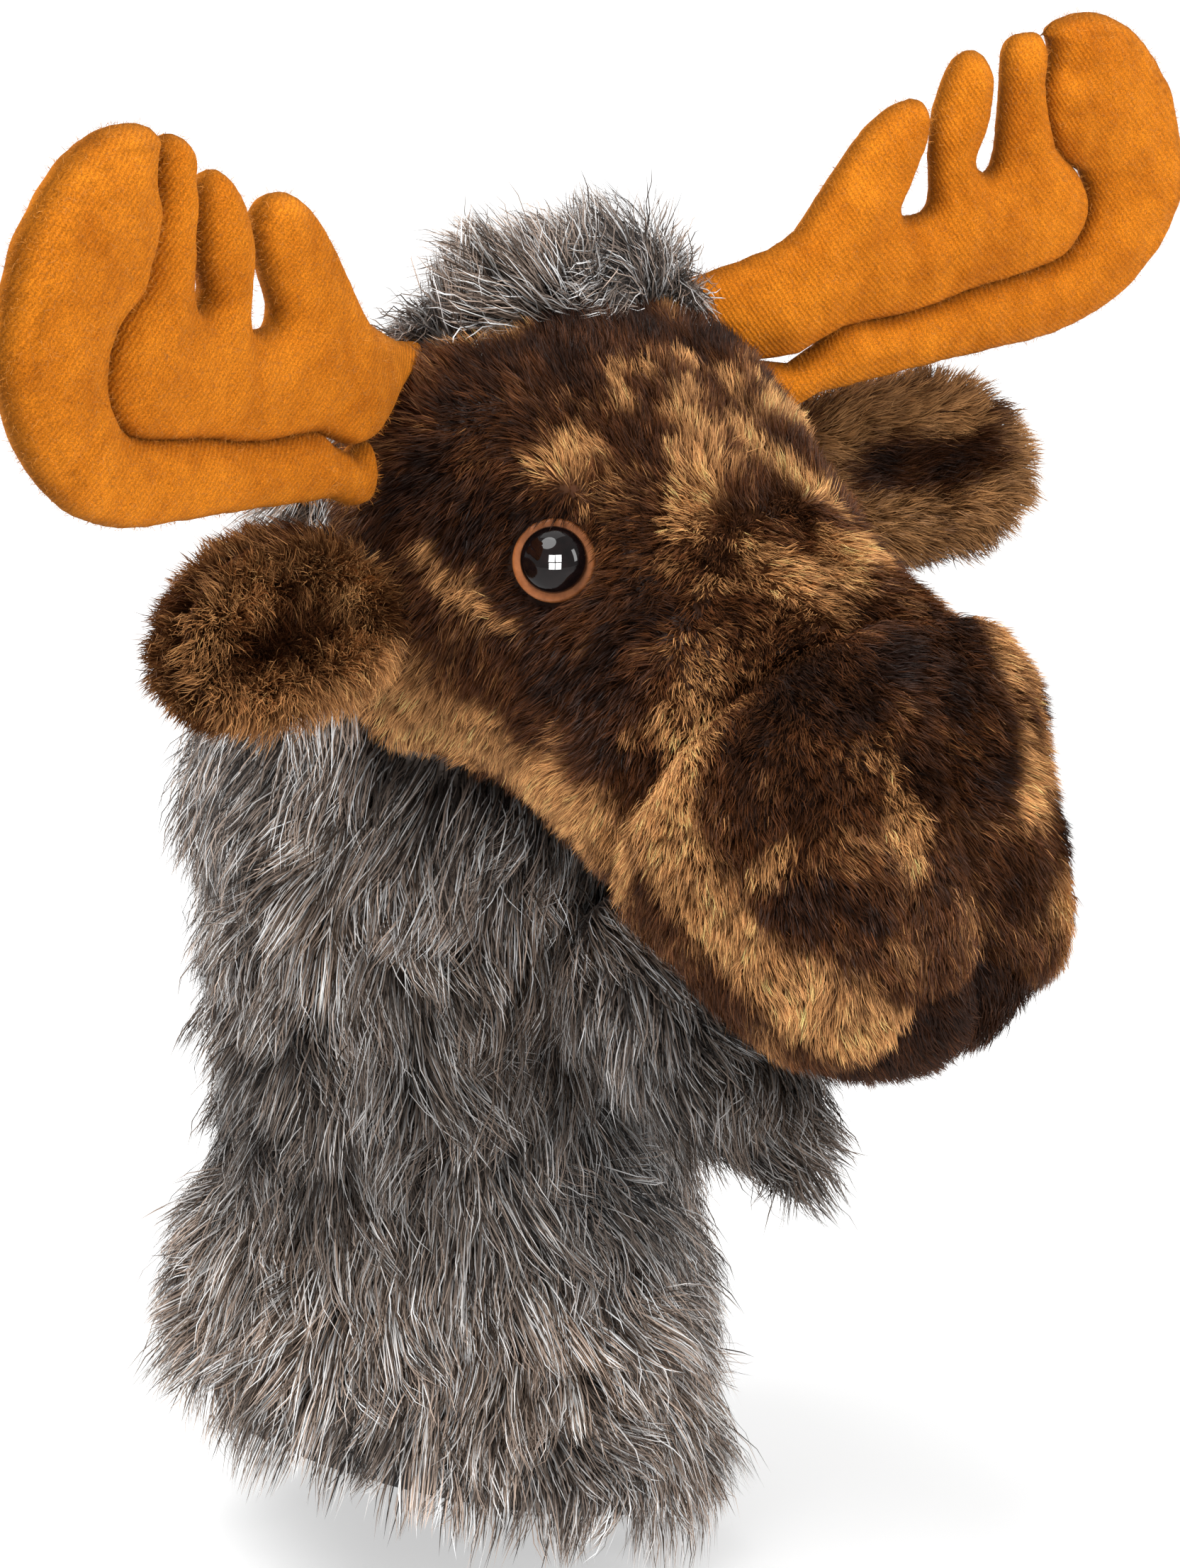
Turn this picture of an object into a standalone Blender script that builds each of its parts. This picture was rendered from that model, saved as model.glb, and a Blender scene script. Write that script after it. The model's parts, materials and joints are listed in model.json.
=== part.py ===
"""Plush moose head cover for a golf driver.

The moose faces -Y, +Z is up and its right side is -X. Everything below is laid out in the sewing frame,
whose origin is on the neck axis at the level of the throat, and then hung on one empty so that the world
origin is the ceiling of the pocket that rests on the club head. Lengths are in millimetres up to MM.
"""

import math

import bmesh
import bpy
import numpy as np
from mathutils import Matrix, Vector

MM = 0.001
GAP = 0.3  # clear space between pieces that are sewn face to face
SEAT_Z = 40.0  # ceiling of the club-head pocket, above the throat

# Neck, nape and crown: height, middle in Y, half width, half depth of the outer pile surface
NECK_RINGS = (
    (-190, 0, 81, 81),
    (-165, 0, 81, 81),
    (-130, 0, 77, 77),
    (-98, 0, 71, 71),
    (-65, 0, 72, 72),
    (-25, 0, 74, 74),
    (5, 0, 75.5, 75.5),
    (30, -2, 74, 73),
    (60, -8, 70, 66),
    (90, -18, 67, 53),
    (118, -28, 62, 38),
    (142, -38, 52, 25),
    (158, -42, 35, 16),
    (168, -43, 8, 4),
)
HEM_Z = -190.0
SOCK_TOP, NAPE_TOP, CROWN_TOP = 22.0, 112.0, 168.0
SOCK_WALL = 14.0  # backing and combed-down long pile
NAPE_WALL = 12.0
HEM_SLOPE_X, HEM_SLOPE_Y = -0.30, 0.03  # the hem hangs lower at the left
HEM_BLEND_TOP = -60.0
NECK_STEPS, NECK_EVERY = 24, 18.0  # corners of a ring, and the height between rings
CROWN_STEPS, CROWN_EVERY = 20, 10.0

# Knitted pocket: height and inner radius
LINER_WALL = 1.5
LINER = (
    (-190, 61.0), (-150, 59.0), (-112, 53.0), (-84, 53.0), (-60, 55.0), (-25, 57.3),
    (0, 58.3), (15, 56.0), (28, 46.0), (37, 28.0), (40, 0.0),
)
ELASTIC_Z, ELASTIC_WIDTH, ELASTIC_IN, ELASTIC_WALL = -98.0, 20.0, 55.2, 1.4  # IN is an inner radius
BINDING_IN, BINDING_OUT, BINDING_HEIGHT = 63.2, 66.4, 11.0

# Head: middle y, middle z, tilt, half width, height above, height below, roundness exponent
HEAD_RINGS = (
    (-28, 85, 0, 66, 58, 62, 2.6),
    (-42, 84, 6, 71, 61, 66, 2.7),
    (-58, 79, 15, 68, 60, 64, 2.5),
    (-76, 68, 24, 60, 55, 54, 2.3),
    (-94, 56, 30, 56, 51, 50, 2.3),
    (-114, 43, 32, 58, 50, 48, 2.3),
    (-135, 31, 32, 61, 46, 48, 2.35),
    (-152, 20, 32, 60, 41, 46, 2.4),
    (-168, 8, 32, 56, 34, 41, 2.4),
    (-179, 0, 32, 49, 25, 33, 2.4),
    (-187, -6, 32, 38, 16, 24, 2.3),
    (-192, -10, 32, 22, 9, 13, 2.2),
    (-194, -11, 32, 0, 0, 0, 2.2),
)
HEAD_WALL = 6.0  # short pile and backing
MUZZLE_HEART, HEART_RING = (0.0, -150.0, 18.0), 14
RINGS_PER_SPAN = 2
HALF_STEPS = 11
MUZZLE_SEAM_RING = 11  # the seam between the face and the muzzle
LIP_RING, LIP_STEP = 17, 8  # the corner of the muzzle that the lower lip fills
CREASE_DEPTH, CREASE_WIDTH = 5.0, 9.0

# Eyes
EYE_AT = (47.5, -87.5, 98.0)
EYE_FACING = (0.76, -0.56, 0.33)
EYE_RIM_R, EYE_DOME_R, EYE_SHANK_R, EYE_WASHER_R = 10.5, 8.4, 2.3, 8.0
EYE_RIM_THICK, EYE_DOME_HIGH = 2.6, 6.0
EYE_SHANK_LONG, EYE_WASHER_AT, EYE_WASHER_THICK = 18.0, -13.0, 1.6  # the washer is locked below the rim
EYE_BEVEL, EYE_CLEAR = 0.8, 0.4

# Antlers, in their own plane: outward and up from the middle of the base seam
ANTLER_BASE = (72.0, -55.0, 122.0)
ANTLER_SWEEP = math.radians(11.3)  # the tips lean forward
ANTLER_TIP_IN = math.radians(4.5)
ANTLER_OUT = 4.0  # clear of the head so that the base seam can bend
PALM = (
    (-10, 12), (2, 25), (15, 40), (27, 56), (36, 66), (46, 68), (52, 61), (51, 50), (48, 39), (57, 39),
    (60, 52), (61, 68), (66, 77), (74, 77), (76, 64), (74, 50), (80, 50), (81, 66), (84, 82), (92, 84),
    (96, 70), (96, 54), (104, 46), (107, 34), (101, 20), (86, 13), (60, 8), (30, 3), (6, -2),
)
HOOK = (
    (8, -15), (35, -10), (70, -8), (101, -6), (124, 4), (140, 22), (147, 45), (141, 64), (128, 81),
    (112, 91), (101, 90), (98, 80), (101, 66), (106, 54), (111, 44), (112, 31), (104, 15), (86, 8.5),
    (60, 3.5), (32, -1.5), (9, -6),
)
PALM_HALF_THICK, PALM_EDGE_R = 9.5, 4.0
HOOK_HALF_THICK, HOOK_EDGE_R = 10.5, 5.0
FELT = 1.5
ANTLER_MOUTH_R = 2.4
ANTLER_MOUTH = {"palm": (6.0, 10.0), "hook": (-10.0, 30.0)}  # stuffing opening: height and reach

# Ears, along their own axis from the root
EAR_ROOT = (76.0, -47.0, 76.0)
EAR_SWEEP = math.radians(15.0)
EAR_LEAN = math.radians(24.0)  # the upper edge leans back, clear of the antler
EAR_LENGTH, EAR_HALF_WIDE, EAR_BACK_THICK, EAR_FRONT_THICK, EAR_CUP = 92.0, 25.0, 17.0, 15.0, 7.0
EAR_HOLLOW = 8.0
EAR_LENGTH_RINGS, EAR_CROSS_STEPS = 11, 8

# Bell of long pile under the chin: y, z, half width, half height
BELL_RINGS = (
    (-70, -12, 27, 20),
    (-88, -24, 33, 22),
    (-106, -37, 31, 21),
    (-124, -49, 24, 17),
    (-140, -59, 15, 11),
    (-152, -66, 4, 3),
)
BELL_TILT = math.radians(40)


def clear_scene():
    for ob in list(bpy.data.objects):
        bpy.data.objects.remove(ob)


def material(name, colour, roughness, metallic=0.0):
    m = bpy.data.materials.new(name)
    m.use_nodes = True
    shader = m.node_tree.nodes["Principled BSDF"]
    shader.inputs["Base Color"].default_value = (*colour, 1)
    shader.inputs["Roughness"].default_value = roughness
    shader.inputs["Metallic"].default_value = metallic
    m.diffuse_color = (*colour, 1)
    return m


def empty(name, at=(0, 0, 0), parent=None):
    e = bpy.data.objects.new(name, None)
    e.empty_display_size = 0.02
    e.location = Vector(at) * MM
    e.parent = parent
    bpy.context.collection.objects.link(e)
    return e


def add(name, bm, look, parent, smooth=True):
    """An object from a bmesh in millimetres, with its faces turned outwards."""
    bmesh.ops.remove_doubles(bm, verts=bm.verts, dist=1e-4)
    bmesh.ops.recalc_face_normals(bm, faces=bm.faces)
    bmesh.ops.scale(bm, vec=(MM, MM, MM), verts=bm.verts)
    mesh = bpy.data.meshes.new(name)
    bm.to_mesh(mesh)
    bm.free()
    if smooth:
        mesh.shade_smooth()
    ob = bpy.data.objects.new(name, mesh)
    bpy.context.collection.objects.link(ob)
    if look:
        mesh.materials.append(look)
    ob.parent = parent
    return ob


def helper(name, bm, parent):
    ob = add(name, bm, None, parent)
    ob.hide_render = True
    ob.display_type = "WIRE"
    return ob


def cut(ob, *cutters):
    for cutter in cutters:
        mod = ob.modifiers.new("cut_" + cutter.name, "BOOLEAN")
        mod.operation = "DIFFERENCE"
        mod.object = cutter
    return ob


def catmull_rom(p0, p1, p2, p3, t):
    bend = (2 * p0 - 5 * p1 + 4 * p2 - p3) * t**2 + (3 * p1 - p0 - 3 * p2 + p3) * t**3
    return 0.5 * (2 * p1 + (p2 - p0) * t + bend)


def blend_rings(rings, per_span):
    """Catmull-Rom through a table of ring dimensions."""
    table = np.array(rings, float)
    rows = []
    for i in range(len(table) - 1):
        p0, p1, p2 = table[max(i - 1, 0)], table[i], table[i + 1]
        p3 = table[min(i + 2, len(table) - 1)]
        for k in range(per_span):
            rows.append(catmull_rom(p0, p1, p2, p3, k / per_span))
    rows.append(table[-1])
    return np.array(rows)


def grid_normals(points, closed):
    """Unit normals of a grid of points, rings by steps, pointing away from the rings' middles."""
    along = np.gradient(points, axis=0)
    if closed:
        around = np.roll(points, -1, 1) - np.roll(points, 1, 1)
    else:
        around = np.gradient(points, axis=1)
    normal = np.cross(along, around)
    normal /= np.maximum(np.linalg.norm(normal, axis=2, keepdims=True), 1e-9)
    middle = points.mean(axis=1, keepdims=True)
    return normal * np.sign(((points - middle) * normal).sum())


def panel(outer, inner, chosen, wrap=False):
    """A closed sheet between two matching grids over the chosen faces, drawn back a little from its edges."""
    rings, steps = outer.shape[:2]
    faces = [
        (i, j)
        for i in range(rings - 1)
        for j in range(steps if wrap else steps - 1)
        if chosen(i, j)
    ]
    around = {}
    sides = {}
    for i, j in faces:
        j2 = (j + 1) % steps
        corners = [(i, j), (i + 1, j), (i + 1, j2), (i, j2)]
        for a, b in zip(corners, corners[1:] + corners[:1]):
            sides.setdefault(frozenset((a, b)), []).append((a, b))
            around.setdefault(a, []).extend(corners)
    edge = {v for pair in sides.values() if len(pair) == 1 for v in pair[0]}

    def place(grid, v):
        at = grid[v]
        if v in edge:
            pull = np.mean([grid[w] for w in around[v]], axis=0) - at
            size = np.linalg.norm(pull)
            if size > 1e-6:
                at = at + pull / size * GAP * 0.75
        return at

    bm = bmesh.new()
    top = {v: bm.verts.new(place(outer, v)) for v in around}
    low = {v: bm.verts.new(place(inner, v)) for v in around}

    def face(loop):
        unique = []
        for v in loop:
            if not any((v.co - u.co).length < 1e-5 for u in unique):
                unique.append(v)
        if len(unique) > 2 and not bm.faces.get(unique):
            bm.faces.new(unique)

    for i, j in faces:
        j2 = (j + 1) % steps
        corners = [(i, j), (i + 1, j), (i + 1, j2), (i, j2)]
        face([top[v] for v in corners])
        face([low[v] for v in reversed(corners)])
    for pair in sides.values():
        if len(pair) == 1:
            a, b = pair[0]
            face([top[b], top[a], low[a], low[b]])
    return bm


def plug(grid):
    """A closed body filling a grid of rings, with flat ends."""
    bm = bmesh.new()
    rings = [[bm.verts.new(p) for p in row] for row in grid]
    for a, b in zip(rings, rings[1:]):
        n = len(a)
        for j in range(n):
            k = (j + 1) % n
            bm.faces.new([a[j], b[j], b[k], a[k]])
    bm.faces.new(rings[0])
    bm.faces.new(rings[-1][::-1])
    bmesh.ops.remove_doubles(bm, verts=bm.verts, dist=1e-3)
    bmesh.ops.triangulate(bm, faces=[f for f in bm.faces if len(f.verts) > 4])
    return bm


# ---------------------------------------------------------------- neck, nape and crown


def hem_shear(points):
    """Tilts the hem plane and leaves everything above the waist as it is."""
    points = np.array(points, float)
    share = np.clip((HEM_BLEND_TOP - points[..., 2]) / (HEM_BLEND_TOP - HEM_Z), 0, 1) ** 1.5
    points[..., 2] += share * (HEM_SLOPE_X * points[..., 0] + HEM_SLOPE_Y * points[..., 1])
    return points


def neck_grid(low, high, inset, steps=NECK_STEPS, every=NECK_EVERY):
    """Rings of the neck between two heights, drawn in by a wall."""
    table = blend_rings(NECK_RINGS, 4)
    count = max(2, int(round((high - low) / every)) + 1)
    rows = []
    for z in np.linspace(low, high, count):
        middle, wide, deep = (np.interp(z, table[:, 0], table[:, c]) for c in (1, 2, 3))
        angle = np.linspace(0, 2 * math.pi, steps, endpoint=False)
        across, along = max(wide - inset, 0.5), max(deep - inset, 0.5)
        rows.append(
            np.stack([across * np.sin(angle), middle + along * np.cos(angle), np.full(steps, z)], axis=1)
        )
    return np.array(rows)


def turned(profile, steps=NECK_STEPS):
    """A profile of height and radius turned about the neck axis."""
    angle = np.linspace(0, 2 * math.pi, steps, endpoint=False)
    return np.array([[(r * math.sin(a), r * math.cos(a), z) for a in angle] for z, r in profile])


def liner_profile(grow):
    return [(z + (grow if z > 0 else 0), r + grow if z < SEAT_Z else 0.0) for z, r in LINER]


def whole(i, j):
    return True


def make_neck(root, looks):
    liner_out = turned(liner_profile(LINER_WALL))
    liner_in = turned(liner_profile(0.0))
    liner = panel(hem_shear(liner_out), hem_shear(liner_in), whole, wrap=True)
    add("inner_liner", liner, looks["liner"], root)
    dome = [(z, r) for z, r in liner_profile(LINER_WALL + GAP) if z >= 0]
    pocket_top = helper("cut_pocket_top", plug(turned([(-SEAT_Z, dome[0][1])] + dome)), root)

    sock_out, sock_in = (hem_shear(neck_grid(HEM_Z, SOCK_TOP, wall)) for wall in (0, SOCK_WALL))
    sock = panel(sock_out, sock_in, whole, wrap=True)
    nape_low, crown_low = SOCK_TOP + GAP, NAPE_TOP + 2 * GAP
    nape = panel(neck_grid(nape_low, NAPE_TOP, 0), neck_grid(nape_low, NAPE_TOP, NAPE_WALL), whole, wrap=True)
    nape_core = plug(neck_grid(nape_low, NAPE_TOP, NAPE_WALL + 3 * GAP))
    mane = plug(neck_grid(crown_low, CROWN_TOP, 0, CROWN_STEPS, CROWN_EVERY))
    made = dict(
        sock=add("neck_sock_fur", sock, looks["grey_fur"], root),
        nape=add("nape_fur", nape, looks["grey_fur"], root),
        nape_fill=add("nape_fill", nape_core, looks["fibre"], root),
        crown=add("crown_mane", mane, looks["grey_fur"], root),
        pocket_top=pocket_top,
    )

    def ring(name, low, high, inner, outer, look):
        a = hem_shear(turned([(low, outer), (high, outer)]))
        b = hem_shear(turned([(low, inner), (high, inner)]))
        add(name, panel(a, b, whole, wrap=True), look, root)

    low, high = ELASTIC_Z - ELASTIC_WIDTH / 2, ELASTIC_Z + ELASTIC_WIDTH / 2
    ring("elastic_band", low, high, ELASTIC_IN, ELASTIC_IN + ELASTIC_WALL, looks["elastic"])
    ring("hem_binding", HEM_Z, HEM_Z + BINDING_HEIGHT, BINDING_IN, BINDING_OUT, looks["binding"])
    return made


# ---------------------------------------------------------------- head


def head_grid(steps=HALF_STEPS):
    """Half rings of the pile surface, from the top line down the left side to the bottom line."""
    rows = []
    for y, z, tilt, wide, above, below, power in blend_rings(HEAD_RINGS, RINGS_PER_SPAN):
        tilt, wide = math.radians(tilt), max(wide, 0)
        row = []
        for j in range(steps + 1):
            a = math.pi * j / steps
            c, s = math.cos(a), math.sin(a)
            x = wide * abs(s) ** (2 / power)
            h = (above if c > 0 else below) * abs(c) ** (2 / power) * (1 if c > 0 else -1)
            row.append((x, y - h * math.sin(tilt), z + h * math.cos(tilt)))
        rows.append(row)
    rows = np.array(rows)
    forward = np.clip((-rows[..., 1] - 120) / 50, 0, 1)
    push = CREASE_DEPTH * np.exp(-((rows[..., 0] / CREASE_WIDTH) ** 2)) * forward
    rows[..., 1] += 0.85 * push
    rows[..., 2] += 0.2 * push
    return rows


def head_layers(rows):
    """The full ring grid and its normals, mirrored from the half."""
    other = rows[:, 1:-1][:, ::-1] * (-1, 1, 1)
    full = np.concatenate([rows, other], axis=1)
    normals = grid_normals(full, closed=True)
    # Towards the blunt front the wall is measured from a point inside the muzzle, so that it can't fold.
    spread = full - np.array(MUZZLE_HEART)
    spread /= np.linalg.norm(spread, axis=2, keepdims=True)
    share = np.clip((np.arange(len(full)) - HEART_RING) / 4, 0, 1)[:, None, None]
    normals = normals * (1 - share) + spread * share
    normals /= np.linalg.norm(normals, axis=2, keepdims=True)
    normals[0, :, 1] = 0
    normals[0] /= np.maximum(np.linalg.norm(normals[0], axis=1, keepdims=True), 1e-9)
    normals[:, 0, 0] = 0
    normals[:, rows.shape[1] - 1, 0] = 0
    return full, normals


def make_head(root, looks, neck):
    rows = head_grid()
    full, normals = head_layers(rows)
    count = rows.shape[1]
    inner = full - normals * HEAD_WALL
    core = full - normals * (HEAD_WALL + 2 * GAP)

    made = {}
    for sign, tag in ((1, "left"), (-1, "right")):
        out, low = (grid[:, :count] * (sign, 1, 1) for grid in (full, inner))
        face = panel(out, low, lambda i, j: i < MUZZLE_SEAM_RING)
        made["face_" + tag] = add("face_panel_" + tag, face, looks["brown_pile"], root)
        muzzle = panel(out, low, lambda i, j: i >= MUZZLE_SEAM_RING and not (i >= LIP_RING and j >= LIP_STEP))
        add("muzzle_panel_" + tag, muzzle, looks["tan_pile"], root)
    n = full.shape[1]
    lip = panel(full, inner, lambda i, j: i >= LIP_RING and LIP_STEP <= j < n - LIP_STEP, wrap=True)
    add("lower_lip_panel", lip, looks["dark_pile"], root)

    split = MUZZLE_SEAM_RING
    face_core = core[: split + 1].copy()
    step = face_core[split] - face_core[split - 1]
    face_core[split] -= step / np.linalg.norm(step, axis=1, keepdims=True) * GAP
    face_core[0, :, 1] -= GAP / 2
    made["fill"] = add("head_fill", plug(face_core), looks["fibre"], root)
    add("muzzle_fill", plug(core[split:]), looks["fibre"], root)

    grown = full + normals * GAP
    grown[0, :, 1] += GAP
    made["envelope"] = helper("cut_head", plug(grown), root)
    for key in ("sock", "nape", "nape_fill", "crown"):
        cut(neck[key], made["envelope"])
    cut(neck["nape_fill"], neck["pocket_top"])
    for key in ("face_left", "face_right", "fill"):
        cut(made[key], neck["pocket_top"])
    return made


# ---------------------------------------------------------------- eyes


def disc(radius, low, high, steps=24):
    bm = bmesh.new()
    bmesh.ops.create_cone(bm, cap_ends=True, segments=steps, radius1=radius, radius2=radius, depth=high - low)
    bmesh.ops.translate(bm, vec=(0, 0, (low + high) / 2), verts=bm.verts)
    return bm


def turned_solid(profile, steps=18):
    """A closed body from a profile of radius and height that starts and ends on the axis."""
    bm = bmesh.new()
    points = [bm.verts.new((r, 0, z)) for r, z in profile]
    edges = [bm.edges.new(pair) for pair in zip(points, points[1:])]
    turn = dict(cent=(0, 0, 0), axis=(0, 0, 1), angle=2 * math.pi, steps=steps, use_merge=True)
    bmesh.ops.spin(bm, geom=points + edges, **turn)
    bmesh.ops.remove_doubles(bm, verts=bm.verts, dist=1e-3)
    return bm


def make_eye(sign, tag, root, looks, head):
    at = Vector(EYE_AT)
    at.x *= sign
    facing = Vector(EYE_FACING).normalized()
    facing.x *= sign
    turn = facing.to_track_quat("Z", "Y").to_matrix().to_4x4()
    place = Matrix.Translation(at) @ turn

    def put(name, bm, look):
        bm.transform(place)
        return add(name, bm, look, root) if look else helper(name, bm, root)

    dome = [(0.0, EYE_DOME_HIGH)]
    for k in range(1, 5):
        a = math.radians(90 - 22 * k)
        dome.append((EYE_DOME_R * math.cos(a), EYE_DOME_HIGH * math.sin(a)))
    dome += [(0.0, 0.0)]
    put("eye_dome_" + tag, turned_solid(dome), looks["black_gloss"])

    low = -GAP - EYE_RIM_THICK
    rim = [(0.0, low), (EYE_RIM_R - EYE_BEVEL, low), (EYE_RIM_R, low + EYE_BEVEL), (EYE_RIM_R, -1.3)]
    rim += [(EYE_DOME_R + GAP, -GAP), (0.0, -GAP)]
    put("eye_rim_" + tag, turned_solid(rim), looks["iris"])

    back = low - GAP
    tip = back - EYE_SHANK_LONG
    shank = [(0.0, back), (EYE_SHANK_R, back), (EYE_SHANK_R, tip + 1), (EYE_SHANK_R - 1, tip), (0.0, tip)]
    put("eye_shank_" + tag, turned_solid(shank, 16), looks["washer"])

    faces = (EYE_WASHER_AT, EYE_WASHER_AT - EYE_WASHER_THICK)
    washer, hole = (turned([(z, r) for z in faces], 18) for r in (EYE_WASHER_R, EYE_SHANK_R + GAP))
    put("eye_washer_" + tag, panel(washer, hole, whole, wrap=True), looks["washer"])

    socket = put("cut_eye_socket_" + tag, disc(EYE_RIM_R + EYE_CLEAR, back + 0.1, 25), None)
    bore = put("cut_eye_bore_" + tag, disc(EYE_SHANK_R + EYE_CLEAR, tip - 2, 5, 16), None)
    pocket = disc(EYE_WASHER_R + EYE_CLEAR, faces[1] - EYE_CLEAR, faces[0] + EYE_CLEAR)
    seat = put("cut_eye_seat_" + tag, pocket, None)
    cut(head["face_" + tag], socket, bore, seat)
    cut(head["fill"], socket, bore, seat)


# ---------------------------------------------------------------- antlers


def signed_area(outline):
    return 0.5 * sum(a[0] * b[1] - b[0] * a[1] for a, b in zip(outline, np.roll(outline, -1, 0)))


def drawn_in(outline, distance):
    """The outline moved inwards along its own normals."""
    turn = math.copysign(1, signed_area(outline))
    before, after = outline - np.roll(outline, 1, 0), np.roll(outline, -1, 0) - outline
    unit = [v / np.linalg.norm(v, axis=1, keepdims=True) for v in (before, after)]
    middle = unit[0] + unit[1]
    middle /= np.linalg.norm(middle, axis=1, keepdims=True)
    inward = np.stack([-middle[:, 1], middle[:, 0]], axis=1) * turn
    return outline + inward * distance


def puffed(points, half_thick, edge_r, draw_in):
    """A flat outline blown up to a rounded slab, as a bmesh in its own plane, thickness along Z."""
    outline = drawn_in(np.array(points, float), edge_r)
    curve = bpy.data.curves.new("outline", "CURVE")
    curve.dimensions = "2D"
    curve.fill_mode = "BOTH"
    radius = (edge_r - draw_in) * MM
    curve.bevel_depth = radius
    curve.bevel_resolution = 1
    curve.extrude = (half_thick - edge_r) * MM
    spline = curve.splines.new("POLY")
    spline.points.add(len(outline) - 1)
    for point, (x, y) in zip(spline.points, outline if signed_area(outline) < 0 else outline[::-1]):
        point.co = (x * MM, y * MM, 0, 1)
    spline.use_cyclic_u = True
    guide = bpy.data.objects.new("outline", curve)
    bpy.context.collection.objects.link(guide)
    bpy.context.view_layer.update()
    mesh = bpy.data.meshes.new_from_object(guide.evaluated_get(bpy.context.evaluated_depsgraph_get()))
    bpy.data.objects.remove(guide)
    bm = bmesh.new()
    bm.from_mesh(mesh)
    bmesh.ops.remove_doubles(bm, verts=bm.verts, dist=1e-7)
    bmesh.ops.scale(bm, vec=(1 / MM,) * 3, verts=bm.verts)
    return bm


def make_antler(sign, tag, root, looks):
    """The antler's plane holds outward and up; the third axis is its thickness."""
    outward = Vector((math.cos(ANTLER_SWEEP) * sign, -math.sin(ANTLER_SWEEP), 0))
    up = Vector((0, -math.sin(ANTLER_TIP_IN), math.cos(ANTLER_TIP_IN)))
    up = (up - up.dot(outward) * outward).normalized()
    through = outward.cross(up)
    base = Vector(ANTLER_BASE)
    base.x *= sign
    at = base + outward * ANTLER_OUT
    frame = Matrix.Translation(at) @ Matrix((outward, up, through)).transposed().to_4x4()

    def put(name, bm, look):
        bm.transform(frame)
        return add(name, bm, look, root) if look else helper(name, bm, root)

    for piece, outline, thick, edge_r in (
        ("palm", PALM, PALM_HALF_THICK, PALM_EDGE_R),
        ("hook", HOOK, HOOK_HALF_THICK, HOOK_EDGE_R),
    ):
        skin = put(f"antler_{piece}_felt_{tag}", puffed(outline, thick, edge_r, 0), looks["felt"])
        hollow = put(f"cut_{piece}_{tag}", puffed(outline, thick, edge_r, FELT), None)
        height, reach = ANTLER_MOUTH[piece]
        mouth = disc(ANTLER_MOUTH_R, -20, reach, 12)
        mouth.transform(Matrix.Translation((0, height, 0)) @ Matrix.Rotation(math.radians(90), 4, "Y"))
        opening = put(f"cut_{piece}_mouth_{tag}", mouth, None)
        cut(skin, hollow, opening)
        put(f"antler_{piece}_fill_{tag}", puffed(outline, thick, edge_r, FELT + 2 * GAP), looks["fibre"])


# ---------------------------------------------------------------- ears


def make_ear(sign, tag, root, looks):
    """A cupped leaf in two layers: a long back layer and a shorter front one with the hollow."""
    outward = Vector((math.cos(EAR_SWEEP) * sign, -math.sin(EAR_SWEEP), 0))
    level_back = Vector((math.sin(EAR_SWEEP) * sign, math.cos(EAR_SWEEP), 0))
    up = Vector((0, 0, 1)) * math.cos(EAR_LEAN) + level_back * math.sin(EAR_LEAN)
    back = level_back * math.cos(EAR_LEAN) - Vector((0, 0, 1)) * math.sin(EAR_LEAN)
    at = Vector(EAR_ROOT)
    at.x *= sign
    frame = Matrix.Translation(at) @ Matrix((outward, up, back)).transposed().to_4x4()
    rings, steps = EAR_LENGTH_RINGS, EAR_CROSS_STEPS

    def leaf(height, direction, hollow):
        """Grid over the leaf: rings along it, steps across it; the pile surface and its flat inner side."""
        top, low = [], []
        for i in range(rings):
            u = i / (rings - 1)
            wide = EAR_HALF_WIDE * (0.5 + 0.5 * math.sin(math.pi * min(u * 1.25, 0.5)))
            round_end = math.sqrt(max(0.0, 1 - max(0.0, (u - 0.62) / 0.38) ** 2))
            start = math.sqrt(max(0.0, 1 - max(0.0, (0.10 - u) / 0.10) ** 2))
            wide = wide * max(round_end, 0.02) * max(start, 0.35)
            thick = height * (0.62 + 0.38 * min(1, u * 3)) * max(round_end, 0.05) ** 0.8 * max(start, 0.3)
            a, b = [], []
            for j in range(steps + 1):
                v = -1 + 2 * j / steps
                v = math.sin(v * math.pi / 2)
                bulge = math.sqrt(max(0.0, 1 - v * v))
                dip = hollow * max(0.0, 1 - (v / 0.62) ** 2) * max(0.0, 1 - ((u - 0.52) / 0.34) ** 2)
                cup = EAR_CUP * (v * v - 0.4) * (wide / EAR_HALF_WIDE)
                high = max(bulge * thick - dip, 0.8) + GAP / 2
                a.append((u * EAR_LENGTH, v * wide, direction * high - cup))
                b.append((u * EAR_LENGTH, v * wide, direction * GAP / 2 - cup))
            top.append(a)
            low.append(b)
        return np.array(top), np.array(low)

    for name, thick, direction, hollow, look in (
        ("ear_back_", EAR_BACK_THICK, 1, 0.0, looks["brown_pile"]),
        ("ear_front_", EAR_FRONT_THICK, -1, EAR_HOLLOW, looks["dark_pile"]),
    ):
        outer, inner = leaf(thick, direction, hollow)
        bm = panel(outer, inner, whole)
        bm.transform(frame)
        add(name + tag, bm, look, root)


# ---------------------------------------------------------------- bell


def make_bell(root, looks, neck, head):
    rows = []
    for y, z, wide, high in blend_rings(BELL_RINGS, 2):
        angle = np.linspace(0, 2 * math.pi, 18, endpoint=False)
        h = high * np.cos(angle)
        across = wide * np.sin(angle)
        rows.append(np.stack([across, y - h * math.sin(BELL_TILT), z + h * math.cos(BELL_TILT)], axis=1))
    bell = add("chin_bell", plug(np.array(rows)), looks["grey_fur"], root)
    clear = helper("cut_neck", plug(neck_grid(-120, 60, -GAP)), root)
    cut(bell, clear, head["envelope"])


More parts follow.
